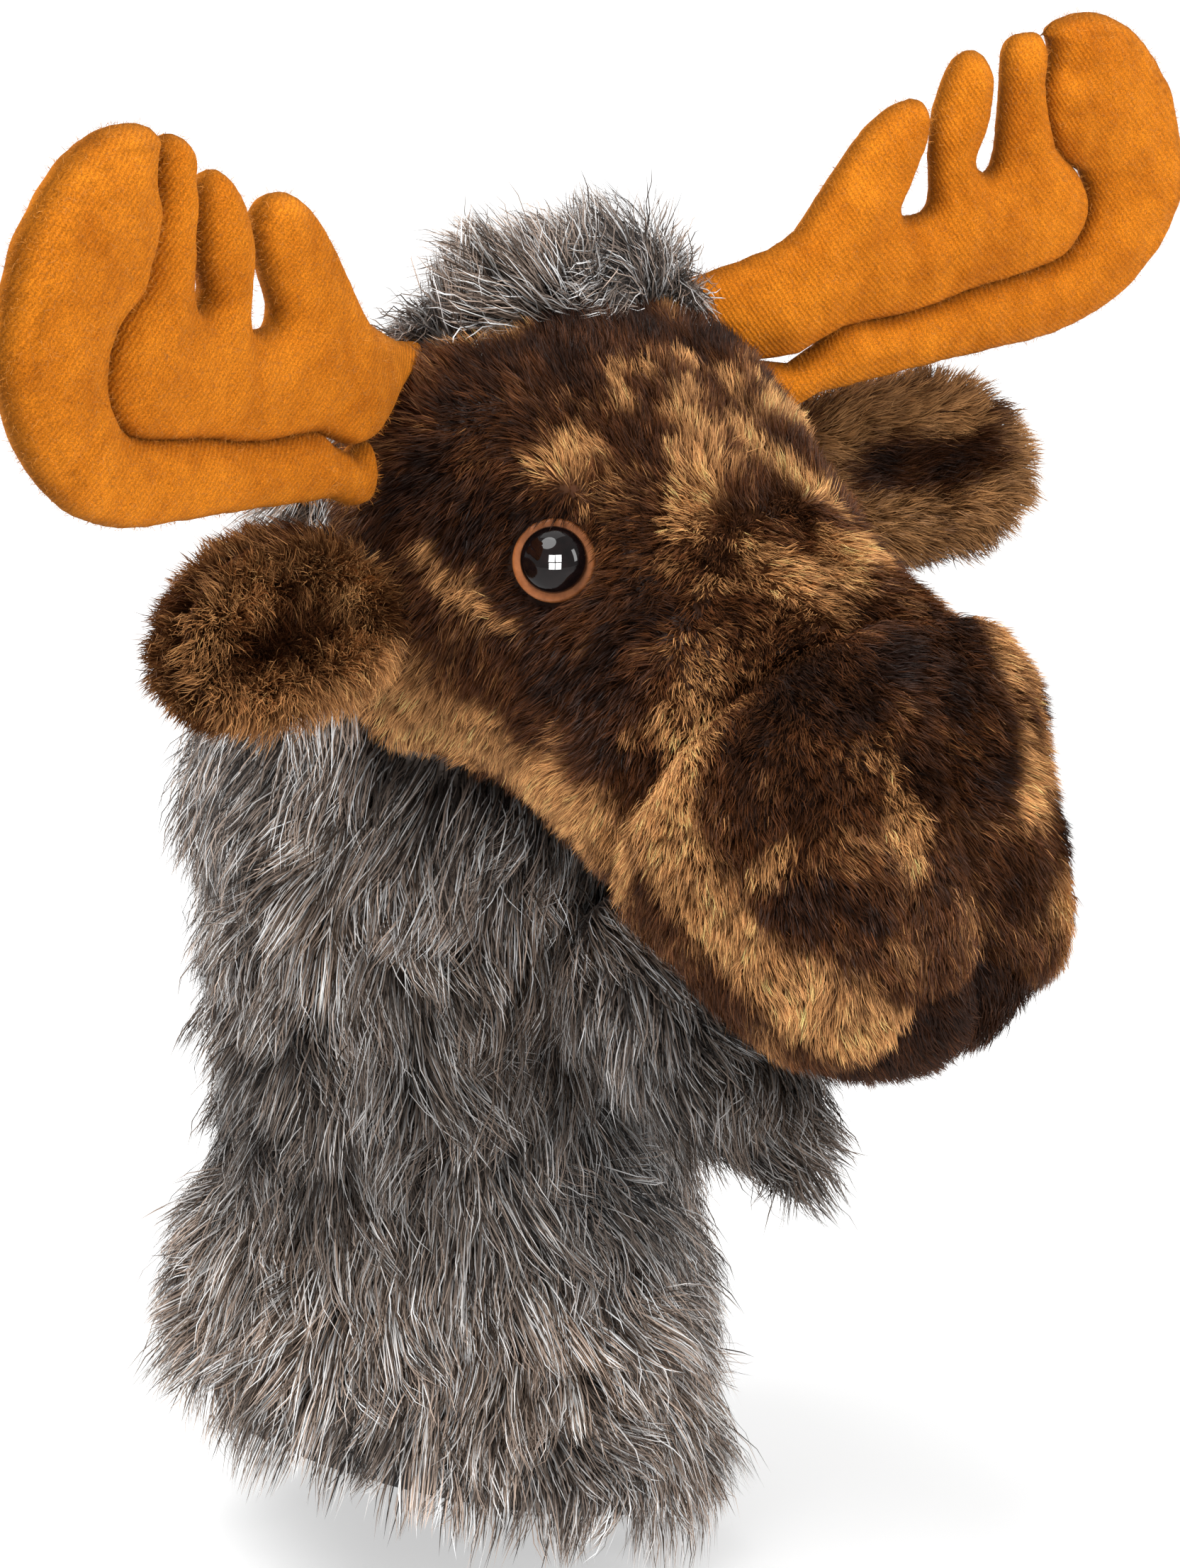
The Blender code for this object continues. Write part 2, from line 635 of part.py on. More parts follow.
def main():
    clear_scene()
    looks = dict(
        grey_fur=material("grey_fur", (0.16, 0.145, 0.135), 0.85),
        brown_pile=material("brown_pile", (0.075, 0.032, 0.016), 0.8),
        tan_pile=material("tan_pile", (0.20, 0.10, 0.045), 0.8),
        dark_pile=material("dark_pile", (0.03, 0.014, 0.009), 0.8),
        felt=material("felt", (0.50, 0.19, 0.025), 0.9),
        fibre=material("fibre", (0.80, 0.80, 0.78), 0.95),
        liner=material("liner", (0.03, 0.03, 0.03), 0.9),
        elastic=material("elastic", (0.75, 0.75, 0.73), 0.8),
        binding=material("binding", (0.02, 0.02, 0.02), 0.85),
        black_gloss=material("black_gloss", (0.008, 0.006, 0.005), 0.05),
        iris=material("iris", (0.25, 0.09, 0.03), 0.3),
        washer=material("washer", (0.70, 0.70, 0.68), 0.5),
    )
    root = empty("cover_root", (0, 0, -SEAT_Z))
    neck = make_neck(root, looks)
    head = make_head(root, looks, neck)
    for sign, tag in ((1, "left"), (-1, "right")):
        make_eye(sign, tag, root, looks, head)
        make_antler(sign, tag, root, looks)
        make_ear(sign, tag, root, looks)
    make_bell(root, looks, neck, head)


main()
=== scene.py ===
import json
import math

import bpy
import numpy as np
from mathutils import Matrix, Vector
from mathutils.bvhtree import BVHTree
from mathutils.geometry import delaunay_2d_cdt
from mathutils.kdtree import KDTree

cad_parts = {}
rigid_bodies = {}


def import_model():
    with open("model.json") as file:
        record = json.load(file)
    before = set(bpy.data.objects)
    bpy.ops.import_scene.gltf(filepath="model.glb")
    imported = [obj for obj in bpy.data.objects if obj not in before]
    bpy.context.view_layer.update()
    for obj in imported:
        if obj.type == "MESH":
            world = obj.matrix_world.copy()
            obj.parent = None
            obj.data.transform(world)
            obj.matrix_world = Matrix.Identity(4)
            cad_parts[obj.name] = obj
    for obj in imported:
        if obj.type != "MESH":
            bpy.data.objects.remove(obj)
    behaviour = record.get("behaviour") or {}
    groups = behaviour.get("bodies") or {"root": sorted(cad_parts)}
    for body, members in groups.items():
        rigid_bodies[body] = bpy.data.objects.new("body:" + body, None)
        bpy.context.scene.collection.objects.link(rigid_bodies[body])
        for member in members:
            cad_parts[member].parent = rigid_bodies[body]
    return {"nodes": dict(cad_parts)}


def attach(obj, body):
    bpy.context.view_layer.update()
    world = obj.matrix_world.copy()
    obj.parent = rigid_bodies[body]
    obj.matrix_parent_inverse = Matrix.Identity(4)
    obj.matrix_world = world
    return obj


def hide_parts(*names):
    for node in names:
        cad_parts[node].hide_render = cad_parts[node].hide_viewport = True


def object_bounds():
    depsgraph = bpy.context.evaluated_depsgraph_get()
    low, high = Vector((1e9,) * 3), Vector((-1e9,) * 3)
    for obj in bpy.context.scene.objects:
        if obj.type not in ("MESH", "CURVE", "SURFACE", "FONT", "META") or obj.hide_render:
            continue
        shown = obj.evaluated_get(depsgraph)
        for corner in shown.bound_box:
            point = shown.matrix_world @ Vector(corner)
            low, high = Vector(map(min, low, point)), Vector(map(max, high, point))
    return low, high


# Moose head cover: skins, piles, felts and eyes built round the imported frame.
# Shapes are laid out in the sewing frame of the part (millimetres, origin on the neck axis at the throat)
# and lowered by SEAT_Z, so that they land in the frame's own place.

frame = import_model()
cad_low, cad_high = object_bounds()

MM = 0.001
SEAT_Z = 40.0

# ---------------------------------------------------------------- sizes shared with the part

NECK_RINGS = (
    (-190, 0, 81, 81), (-165, 0, 81, 81), (-130, 0, 77, 77), (-98, 0, 71, 71), (-65, 0, 72, 72),
    (-25, 0, 74, 74), (5, 0, 75.5, 75.5), (30, -2, 74, 73), (60, -8, 70, 66), (90, -18, 67, 53),
    (118, -28, 62, 38), (142, -38, 52, 25), (158, -42, 35, 16), (168, -43, 8, 4),
)
HEM_Z, SOCK_TOP, NAPE_TOP, CROWN_TOP = -190.0, 22.0, 112.0, 168.0
HEM_SLOPE_X, HEM_SLOPE_Y, HEM_BLEND_TOP = -0.30, 0.03, -60.0
LINER_WALL = 1.5
LINER = (
    (-190, 61.0), (-150, 59.0), (-112, 53.0), (-84, 53.0), (-60, 55.0), (-25, 57.3),
    (0, 58.3), (15, 56.0), (28, 46.0), (37, 28.0), (40, 0.0),
)
ELASTIC_Z, ELASTIC_WIDTH, ELASTIC_IN, ELASTIC_WALL = -98.0, 20.0, 55.2, 1.4
BINDING_IN, BINDING_OUT, BINDING_HEIGHT = 63.2, 66.4, 11.0
HEAD_RINGS = (
    (-28, 85, 0, 66, 58, 62, 2.6), (-42, 84, 6, 71, 61, 66, 2.7), (-58, 79, 15, 68, 60, 64, 2.5),
    (-76, 68, 24, 60, 55, 54, 2.3), (-94, 56, 30, 56, 51, 50, 2.3), (-114, 43, 32, 58, 50, 48, 2.3),
    (-135, 31, 32, 61, 46, 48, 2.35), (-152, 20, 32, 60, 41, 46, 2.4), (-168, 8, 32, 56, 34, 41, 2.4),
    (-179, 0, 32, 49, 25, 33, 2.4), (-187, -6, 32, 38, 16, 24, 2.3), (-192, -10, 32, 22, 9, 13, 2.2),
    (-194, -11, 32, 0, 0, 0, 2.2),
)
HEAD_BACK = -24.0  # behind this the head's form is open, against the neck
MUZZLE_HEART, HEART_STATION = (0.0, -150.0, 18.0), 7.0
SEAM_STATION = 5.5  # where the face meets the muzzle
CREASE_DEPTH, CREASE_WIDTH = 5.0, 9.0
EYE_AT, EYE_FACING = (50.0, -90.5, 91.5), (0.76, -0.56, 0.33)
EYE_CLEARING = 11.6  # no fibre grows this near the middle of an eye
EYE_RIM_R, EYE_DOME_R, EYE_DOME_HIGH, EYE_RIM_THICK = 10.5, 8.4, 6.0, 2.6
ANTLER_BASE, ANTLER_OUT = (72.0, -55.0, 122.0), 4.0
ANTLER_SWEEP, ANTLER_TIP_IN = math.radians(11.3), math.radians(4.5)
PALM = (
    (-16, 14), (-6, 17), (5, 26), (13, 35), (20, 44), (28, 54), (36, 62), (45, 66.5), (52, 66), (56, 61),
    (55, 54), (51, 46), (47, 38), (48, 35), (54, 35), (58, 37), (58, 46), (58, 56), (62, 66), (68, 73),
    (74, 75), (78, 70), (78, 62), (77, 54), (74, 46), (77, 43.5), (80, 46), (81, 56), (81, 66), (81, 77),
    (84, 83), (91, 85), (95, 79), (95, 70), (98, 58), (102, 50), (108, 44), (112, 34), (110, 25), (103, 17),
    (86, 13), (73, 11), (60, 8), (45, 6), (28, 5), (6, -2),
)
HOOK = (
    (6, -18), (20, -13), (35, -11.5), (53, -9.5), (70, -8), (87, -6.5), (101, -5), (114, -1), (124, 4),
    (134, 13), (141, 23), (146, 35), (146.5, 47), (142, 64), (135, 74), (126, 83), (114, 88.5), (103, 89),
    (95, 86), (93, 81), (95, 72), (98, 62), (101, 54), (107, 45.5), (112, 34), (110, 24.5), (103, 16.5),
    (86, 12.5), (73, 10.5), (60, 7.5), (45, 5.5), (28, 4), (6, -4),
)
PALM_HALF_THICK, HOOK_HALF_THICK = 9.5, 10.5
SNUG_REACH, HOOK_TUCK = 9.0, 1.6  # the two felts meet in one groove, and the hook reaches under the palm
FELT_SHARE = 0.84  # of the felt's thickness, before it swells
FELT_SPACING, FILL_SPACING = 1.7, 4.0  # between the points of their meshes
SWELL_PRESSURE, SWELL_MOST = 4.0, 2.2
FOOT_DEPTH, FOOT_BACK = 22.0, 15.0  # how far their feet reach into the head, and backwards
EAR_ROOT, EAR_SWEEP, EAR_LEAN = (76.0, -47.0, 76.0), math.radians(15.0), math.radians(24.0)
EAR_LENGTH, EAR_HALF_WIDE, EAR_BACK_THICK, EAR_FRONT_THICK, EAR_CUP = 92.0, 25.0, 17.0, 15.0, 7.0
BELL_RINGS = (
    (-70, -12, 27, 20), (-88, -24, 33, 22), (-106, -37, 31, 21), (-124, -49, 24, 17),
    (-140, -59, 15, 11), (-152, -66, 4, 3),
)
BELL_TILT, BELL_REACH = math.radians(40), 0.73  # the cloth ends short of the tips of its pile

# ---------------------------------------------------------------- colours (linear)

ESPRESSO, CHESTNUT, TAN = (0.014, 0.0045, 0.002), (0.125, 0.041, 0.0125), (0.95, 0.48, 0.18)
SOOT, TAUPE, SILVER = (0.032, 0.024, 0.020), (0.290, 0.225, 0.185), (0.92, 0.89, 0.87)
FELT_DEEP, FELT_BRIGHT, FELT_NAP = (0.42, 0.110, 0.005), (0.70, 0.215, 0.012), (0.70, 0.27, 0.045)

# Marks of the head's pile on (|x|, y, z), partly its own colour and partly painted light: the line each one follows
# and its half width.
# Tan marks: partly the pile's own mottled tan, partly painted highlight along the jaw, the brow and the muzzle's
# edges.
TAN_AND_HIGHLIGHT_MARKS = (
    (((66, -44, 53), (56, -65, 44), (49, -82, 34), (52, -98, 29), (57, -112, 27)), 13),
    (((34, -90, 117), (41, -89, 113)), 6),
    (((3, -92, 123), (6, -99, 117), (15, -108, 107), (23, -114, 100)), 6),
    (((9, -83, 130), (18, -88, 124)), 5),
    (((24, -128, 90), (9, -130, 91), (4, -138, 86)), 7),
    (((65, -66, 93), (59, -80, 75)), 6),
    (((48, -134, 68), (59, -136, 45), (60, -140, 27), (58, -157, 13), (52, -171, 0), (40, -184, -8)), 10),
    (((57, -163, 30), (51, -170, 33)), 5),
    (((26, -177, 46), (23, -185, 34)), 7),
    (((40, -49, 139), (15, -49, 143)), 5),
)
# Dark marks: partly the pile's own darker patches, partly painted shade, as in the crease down the front of the
# muzzle.
DARK_AND_SHADE_MARKS = (
    (((63, -64, 108), (54, -80, 96), (56, -96, 68), (54, -112, 62), (57, -126, 52)), 11),
    (((48, -114, 78), (40, -119, 85)), 9),
    (((34, -152, 68), (18, -159, 68), (36, -162, 58), (49, -156, 53)), 9),
    (((5, -157, 70), (12, -171, 55), (12, -180, 44)), 9),
    (((2, -188, 26), (2, -193, 8)), 5),
    (((58, -164, 18), (54, -172, 21), (42, -184, 22)), 6),
    (((18, -60, 141), (2, -68, 139), (20, -74, 135), (46, -60, 133)), 10),
)
MOUTH_TOP, MOUTH_BACK, LIP_INSET = 0.0, -148.0, 5.0
# Painted highlight: a light rim down the left side of the muzzle, on the left only.
LEFT_RIM_HIGHLIGHT_MARKS = ((((40, -158, 67), (38, -175, 58), (36, -187, 42), (37, -193, 20), (32, -195, 4)), 11),)


# ---------------------------------------------------------------- small tools


def world(points):
    return (np.asarray(points, float) - (0, 0, SEAT_Z)) * MM


def unit(v):
    return v / np.maximum(np.linalg.norm(v, axis=-1, keepdims=True), 1e-9)


def ripple(points, size, seed, waves=9):
    """Smooth noise from about -1 to 1, with bumps about `size` apart."""
    rng = np.random.default_rng(seed)
    ways = unit(rng.standard_normal((waves, 3))) * (2 * math.pi / size) * rng.uniform(0.6, 1.5, (waves, 1))
    return np.sin(np.asarray(points) @ ways.T + rng.uniform(0, 2 * math.pi, waves)).sum(-1) / math.sqrt(waves)


def smoothstep(low, high, x):
    t = np.clip((x - low) / (high - low), 0, 1)
    return t * t * (3 - 2 * t)


def drift(points, size, seed, strength):
    """Smooth noise in three directions, for turning a comb or moving a border."""
    return np.stack([ripple(points, size, s) for s in range(seed, seed + 3)], axis=1) * strength


def folded(points):
    """The points with the right side of the head laid over the left."""
    return np.concatenate([np.abs(points[..., :1]), points[..., 1:]], axis=-1)


def catmull_rom(before, here, after, far, t):
    return 0.5 * (2 * here + (after - before) * t + (2 * before - 5 * here + 4 * after - far) * t**2
                  + (3 * here - before - 3 * after + far) * t**3)


def blend_rings(rings, per_span):
    """A smooth run of rings through a table of ring dimensions."""
    table = np.array(rings, float)
    rows = []
    for i in range(len(table) - 1):
        before, far = table[max(i - 1, 0)], table[min(i + 2, len(table) - 1)]
        rows += [catmull_rom(before, table[i], table[i + 1], far, k / per_span) for k in range(per_span)]
    rows.append(table[-1])
    return np.array(rows)


def closest(points, line):
    """The nearest point of a chain of straight stretches to each point, and how far it is."""
    best, found = np.full(len(points), 1e9), points.copy()
    for a, b in zip(line, line[1:]):
        t = np.clip((points - a) @ (b - a) / max((b - a) @ (b - a), 1e-9), 0, 1)
        on = a + t[:, None] * (b - a)
        near = np.linalg.norm(points - on, axis=1)
        found[near < best], best = on[near < best], np.minimum(best, near)
    return found, best


def grid_normals(points, closed=True):
    along = np.gradient(points, axis=0)
    around = np.roll(points, -1, 1) - np.roll(points, 1, 1) if closed else np.gradient(points, axis=1)
    normal = unit(np.cross(along, around))
    middle = points.mean(axis=1, keepdims=True)
    return normal * np.sign(((points - middle) * normal).sum())


def grid_faces(rings, steps, closed=True):
    """Quads of a grid, rings by steps, as corner indices."""
    i, j = np.meshgrid(np.arange(rings - 1), np.arange(steps if closed else steps - 1), indexing="ij")
    i, j = i.ravel(), j.ravel()
    k = (j + 1) % steps
    return np.stack([i * steps + j, i * steps + k, (i + 1) * steps + k, (i + 1) * steps + j], axis=1)


def facing_out(points, faces, normals):
    """The faces, turned so that they look the way the normals point."""
    a, b, c = (points[faces[:, k]] for k in (0, 1, 2))
    wrong = (np.cross(b - a, c - a) * normals[faces[:, 0]]).sum() < 0
    return faces[:, ::-1] if wrong else faces


def piece(name, points, faces, look, body, replaced=(), smooth=True):
    """A mesh object in the frame, riding on a body and standing for CAD nodes."""
    mesh = bpy.data.meshes.new(name)
    mesh.from_pydata(world(points).tolist(), [], [list(map(int, f)) for f in faces])
    if smooth:
        mesh.shade_smooth()
    mesh.materials.append(look)
    ob = bpy.data.objects.new(name, mesh)
    bpy.context.scene.collection.objects.link(ob)
    hang(ob, body, replaced)
    return ob


def hang(ob, body, replaced=()):
    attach(ob, body)
    if replaced:
        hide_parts(*replaced)


def paint(mesh, colours, name="fur"):
    layer = mesh.attributes.new(name, "FLOAT_COLOR", "POINT")
    full = np.concatenate([colours, np.ones((len(colours), 1))], axis=1)
    layer.data.foreach_set("color", full.astype(np.float32).ravel())


def thicken(ob, depth):
    """A backing cloth gets its thickness inwards."""
    mod = ob.modifiers.new("backing", "SOLIDIFY")
    mod.thickness = depth * MM
    mod.offset = -1
    return ob


# ---------------------------------------------------------------- materials


def blank(name):
    m = bpy.data.materials.new(name)
    m.use_nodes = True
    return m, m.node_tree.nodes, m.node_tree.links, m.node_tree.nodes["Principled BSDF"]


def mapped(nodes, links, value, low, high, out_low, out_high):
    node = nodes.new("ShaderNodeMapRange")
    for socket, x in (("From Min", low), ("From Max", high), ("To Min", out_low), ("To Max", out_high)):
        node.inputs[socket].default_value = x
    links.new(value, node.inputs["Value"])
    return node.outputs["Result"]


def noise(nodes, links, vector, scale, detail=4.0, rough=0.6):
    node = nodes.new("ShaderNodeTexNoise")
    node.inputs["Scale"].default_value = scale
    node.inputs["Detail"].default_value = detail
    node.inputs["Roughness"].default_value = rough
    links.new(vector, node.inputs["Vector"])
    return node.outputs["Fac"]


def bumped(nodes, links, shader, height, strength, distance):
    node = nodes.new("ShaderNodeBump")
    node.inputs["Strength"].default_value = strength
    node.inputs["Distance"].default_value = distance
    links.new(height, node.inputs["Height"])
    links.new(node.outputs["Normal"], shader.inputs["Normal"])


def math_node(nodes, links, operation, first, second):
    node = nodes.new("ShaderNodeMath")
    node.operation = operation
    links.new(first, node.inputs[0])
    links.new(second, node.inputs[1])
    return node.outputs[0]


def two_tone(nodes, links, factor, *stops):
    """A colour that runs from the first stop's to the second's."""
    node = nodes.new("ShaderNodeValToRGB")
    for element, (position, colour) in zip(node.color_ramp.elements, stops):
        element.position, element.color = position, (*colour, 1)
    links.new(factor, node.inputs["Fac"])
    return node.outputs["Color"]


def tinted(nodes, links, colour, factor):
    """The colour times a varying factor."""
    node = nodes.new("ShaderNodeVectorMath")
    node.operation = "SCALE"
    links.new(colour, node.inputs[0])
    links.new(factor, node.inputs["Scale"])
    return node.outputs["Vector"]


def fur_look(name, rough_low, rough_high, sheen, sheen_tint, specular=0.5):
    """Pile: every fibre's own colour from root to tip, with drifts of light and shade between locks."""
    m, nodes, links, shader = blank(name)
    colour = nodes.new("ShaderNodeAttribute")
    colour.attribute_name = "fur"
    place = nodes.new("ShaderNodeTexCoord").outputs["Object"]
    drift = noise(nodes, links, place, 60.0, 3.0)
    links.new(
        tinted(nodes, links, colour.outputs["Color"], mapped(nodes, links, drift, 0.3, 0.7, 0.80, 1.18)),
        shader.inputs["Base Color"],
    )
    fine = noise(nodes, links, place, 900.0, 2.0)
    links.new(mapped(nodes, links, fine, 0.3, 0.7, rough_low, rough_high), shader.inputs["Roughness"])
    bumped(nodes, links, shader, fine, 0.15, 0.0002)
    shader.inputs["Sheen Weight"].default_value = sheen
    shader.inputs["Sheen Roughness"].default_value = 0.4
    shader.inputs["Sheen Tint"].default_value = (*sheen_tint, 1)
    shader.inputs["Specular IOR Level"].default_value = specular
    return m


def felt_look():
    """Brushed wool twill: diagonal ribs under a nap, with painted shade that darkens it where the seams draw it in.
    """
    m, nodes, links, shader = blank("antler_felt")
    plane = nodes.new("ShaderNodeAttribute")
    plane.attribute_name = "plane"
    seam = nodes.new("ShaderNodeAttribute")
    seam.attribute_name = "seam"
    cloth = plane.outputs["Vector"]
    rib = nodes.new("ShaderNodeTexWave")
    rib.wave_type, rib.bands_direction = "BANDS", "DIAGONAL"
    rib.inputs["Scale"].default_value = 0.30
    rib.inputs["Distortion"].default_value = 2.2
    rib.inputs["Detail"].default_value = 2.0
    rib.inputs["Detail Scale"].default_value = 1.6
    links.new(cloth, rib.inputs["Vector"])
    nap = noise(nodes, links, cloth, 2.6, 5.0, 0.7)
    cloud = noise(nodes, links, cloth, 0.07, 4.0)
    wool = two_tone(nodes, links, cloud, (0.25, FELT_DEEP), (0.75, FELT_BRIGHT))
    shade = math_node(nodes, links, "MULTIPLY", mapped(nodes, links, nap, 0.34, 0.66, 0.48, 1.42),
                      mapped(nodes, links, rib.outputs["Fac"], 0.0, 1.0, 0.88, 1.08))
    # Painted shade: the felt darker towards its seams.
    drawn = math_node(nodes, links, "MULTIPLY", shade,
                      mapped(nodes, links, seam.outputs["Fac"], 0.0, 1.0, 1.0, 0.38))
    links.new(tinted(nodes, links, wool, drawn), shader.inputs["Base Color"])
    links.new(mapped(nodes, links, nap, 0.3, 0.7, 0.82, 0.98), shader.inputs["Roughness"])
    weave = math_node(nodes, links, "ADD", rib.outputs["Fac"], nap)
    bumped(nodes, links, shader, weave, 0.55, 0.0004)
    shader.inputs["Sheen Weight"].default_value = 0.12
    shader.inputs["Sheen Roughness"].default_value = 0.5
    shader.inputs["Sheen Tint"].default_value = (1.0, 0.50, 0.12, 1)
    shader.inputs["Specular IOR Level"].default_value = 0.06
    return m


def plain_look(name, dark, light, scale, rough, bump, distance=0.0004, bands=None, shine=0.5):
    """Cloths, fibres and plastics: two tones in noise, ribs where the cloth is knitted or woven."""
    m, nodes, links, shader = blank(name)
    place = nodes.new("ShaderNodeTexCoord").outputs["Object"]
    cloud = noise(nodes, links, place, scale, 5.0)
    links.new(two_tone(nodes, links, cloud, (0.3, dark), (0.7, light)), shader.inputs["Base Color"])
    links.new(mapped(nodes, links, cloud, 0.3, 0.7, *rough), shader.inputs["Roughness"])
    height = cloud
    if bands:
        direction, density = bands
        wave = nodes.new("ShaderNodeTexWave")
        wave.wave_type, wave.bands_direction = "BANDS", direction
        wave.inputs["Scale"].default_value = density
        wave.inputs["Distortion"].default_value = 1.5
        links.new(place, wave.inputs["Vector"])
        height = wave.outputs["Fac"]
    bumped(nodes, links, shader, height, bump, distance)
    shader.inputs["Specular IOR Level"].default_value = shine
    return m


LOOKS = dict(
    grey=fur_look("grey_fur", 0.38, 0.58, 0.08, (0.9, 0.9, 0.95), 0.22),
    brown=fur_look("brown_pile", 0.36, 0.55, 0.05, (0.9, 0.45, 0.2), 0.14),
    felt=felt_look(),
    eye=plain_look(
        "black_gloss", (0.0006, 0.0004, 0.0004), (0.002, 0.001, 0.001), 300.0, (0.02, 0.05), 0.02, 0.00005,
        shine=0.25,
    ),
    iris=plain_look(
        "iris", (0.24, 0.075, 0.022), (0.42, 0.145, 0.045), 500.0, (0.30, 0.42), 0.08, 0.0001, shine=0.3,
    ),
    knit=plain_look(
        "liner_knit", (0.018, 0.018, 0.019), (0.045, 0.045, 0.047), 900.0, (0.85, 0.97), 0.7,
        bands=("Z", 90.0),
    ),
    binding=plain_look(
        "binding_tape", (0.012, 0.012, 0.012), (0.03, 0.03, 0.032), 700.0, (0.6, 0.8), 0.6,
        bands=("DIAGONAL", 220.0),
    ),
    elastic=plain_look(
        "elastic_weave", (0.52, 0.51, 0.48), (0.75, 0.74, 0.71), 600.0, (0.6, 0.8), 0.8, bands=("Z", 240.0),
    ),
    fibre=plain_look(
        "polyester_fibre", (0.62, 0.61, 0.58), (0.86, 0.86, 0.84), 220.0, (0.85, 1.0), 0.9, 0.0012,
    ),
    plastic=plain_look(
        "white_plastic", (0.58, 0.58, 0.55), (0.72, 0.72, 0.70), 350.0, (0.35, 0.55), 0.15, 0.0001,
    ),
)


# ---------------------------------------------------------------- fur


def scatter(points, tris, count, rng):
    """Spots spread evenly over triangles: the triangle of each, its corners' weights, and all the normals."""
    a, b, c = (points[tris[:, k]] for k in range(3))
    cross = np.cross(b - a, c - a)
    area = np.linalg.norm(cross, axis=1) / 2
    pick = np.searchsorted(np.cumsum(area), rng.random(count) * area.sum()).clip(max=len(tris) - 1)
    u, v = rng.random((2, count))
    over = u + v > 1
    u[over], v[over] = 1 - u[over], 1 - v[over]
    return pick, np.stack([1 - u - v, u, v], axis=1)[:, :, None], unit(cross)


def sample(points, faces, normals, count, rng):
    """Roots spread evenly over quads, with the normal at each."""
    tris = np.concatenate([faces[:, [0, 1, 2]], faces[:, [0, 2, 3]]])
    pick, weights, _ = scatter(points, tris, count, rng)
    return (points[tris[pick]] * weights).sum(1), unit((normals[tris[pick]] * weights).sum(1))


def quad_area(points, faces):
    a, b, d = (points[faces[:, k]] for k in (0, 1, 3))
    return np.linalg.norm(np.cross(b - a, d - a), axis=1).sum()


def nearest(centres, points):
    tree = KDTree(len(centres))
    for i, c in enumerate(centres):
        tree.insert(c, i)
    tree.balance()
    return np.array([tree.find(p)[1] for p in points])


def flat_to(normal, way):
    """The part of a direction that lies in the surface."""
    return unit(way - (way * normal).sum(1, keepdims=True) * normal)


def grow(name, body, look, roots, normals, comb, rng, tones, length, width, levels=4, lean=(0.35, 0.9),
         lock=7.0, pull=0.6, frizz=0.7, uneven=0.2, wander=0.16, curl=0.0, replaced=()):
    """Fibres as tapered ribbons. They leave the skin, lay over along the comb and draw together in locks."""
    n = len(roots)
    t = np.linspace(0, 1, levels + 1)
    size = (length * (1 + uneven * rng.standard_normal(n)).clip(0.45, 1.5)) / levels
    stray = rng.standard_normal((n, 3)) * wander
    side_way = unit(np.cross(normals, comb))
    phase = rng.uniform(0, 2 * math.pi, n)
    line = np.empty((levels + 1, n, 3))
    line[0] = roots
    for k in range(levels):
        share = lean[0] + (lean[1] - lean[0]) * (k + 0.5) / levels
        way = normals * (1 - share) + comb * share + stray
        if curl:
            turn = phase + 1.1 * math.pi * k
            way = way + curl * (np.cos(turn)[:, None] * side_way + np.sin(turn)[:, None] * normals)
        line[k + 1] = line[k] + unit(way) * size[:, None]
    if lock:
        heads = rng.permutation(n)[: max(1, int(n / lock))]
        lead = heads[nearest(roots[heads], roots)]
        share = (pull * t**1.3)[:, None, None] * rng.uniform(0.55, 1.1, n)[None, :, None].clip(0, 1)
        line = line + (line[:, lead] - line) * share
        root_tone, tip_tone = tones(roots, rng, lead)
    else:
        root_tone, tip_tone = tones(roots, rng, np.arange(n))
    line += rng.standard_normal(line.shape) * (frizz * t**1.5)[:, None, None]

    along = unit(np.gradient(line, axis=0))
    front = normals + rng.standard_normal((n, 3)) * 0.45
    across = unit(np.cross(along, front[None]))
    half = width / 2 * (1 - 0.45 * t[:-1]) * np.where(t[:-1] == 0, 0.8, 1.0)
    wide = across[:-1] * half[:, None, None] * rng.uniform(0.7, 1.3, n)[None, :, None]
    rows = 2 * levels + 1
    points = np.empty((n, rows, 3))
    points[:, 0 : 2 * levels : 2] = (line[:-1] - wide).transpose(1, 0, 2)
    points[:, 1 : 2 * levels : 2] = (line[:-1] + wide).transpose(1, 0, 2)
    points[:, -1] = line[-1]
    quads = [[2 * k, 2 * k + 1, 2 * k + 3, 2 * k + 2] for k in range(levels - 1)]
    pattern = np.array([i for q in quads for i in q] + [2 * levels - 2, 2 * levels - 1, 2 * levels])
    starts = np.array([4 * k for k in range(levels)])
    loops = (np.arange(n)[:, None] * rows + pattern).ravel()
    firsts = (np.arange(n)[:, None] * len(pattern) + starts).ravel()

    mesh = bpy.data.meshes.new(name)
    mesh.vertices.add(n * rows)
    mesh.vertices.foreach_set("co", world(points.reshape(-1, 3)).astype(np.float32).ravel())
    mesh.loops.add(len(loops))
    mesh.loops.foreach_set("vertex_index", loops.astype(np.int32))
    mesh.polygons.add(len(firsts))
    mesh.polygons.foreach_set("loop_start", firsts.astype(np.int32))
    mesh.update(calc_edges=True)
    mesh.shade_smooth()
    height = np.append(np.repeat(t[:-1], 2), 1.0)
    tone = root_tone[:, None] * (1 - height[None, :, None]) + tip_tone[:, None] * height[None, :, None]
    paint(mesh, tone.reshape(-1, 3))
    cells = math.ceil(math.sqrt(n))
    column, row = np.arange(n) % cells, np.arange(n) // cells
    across_cell = np.append(np.tile([0.25, 0.75], levels), 0.5)
    uv = np.stack([column[:, None] + across_cell, row[:, None] + 0.15 + 0.7 * height], axis=2) / cells
    layer = mesh.uv_layers.new(name="OFBake")
    layer.data.foreach_set("uv", uv.reshape(-1, 2)[loops].astype(np.float32).ravel())
    mesh.materials.append(look)
    ob = bpy.data.objects.new(name, mesh)
    bpy.context.scene.collection.objects.link(ob)
    hang(ob, body, replaced)
    return ob


def bvh(grid):
    points, faces, _ = loft_faces(grid)
    return BVHTree.FromPolygons(points.tolist(), [list(map(int, f)) for f in faces])


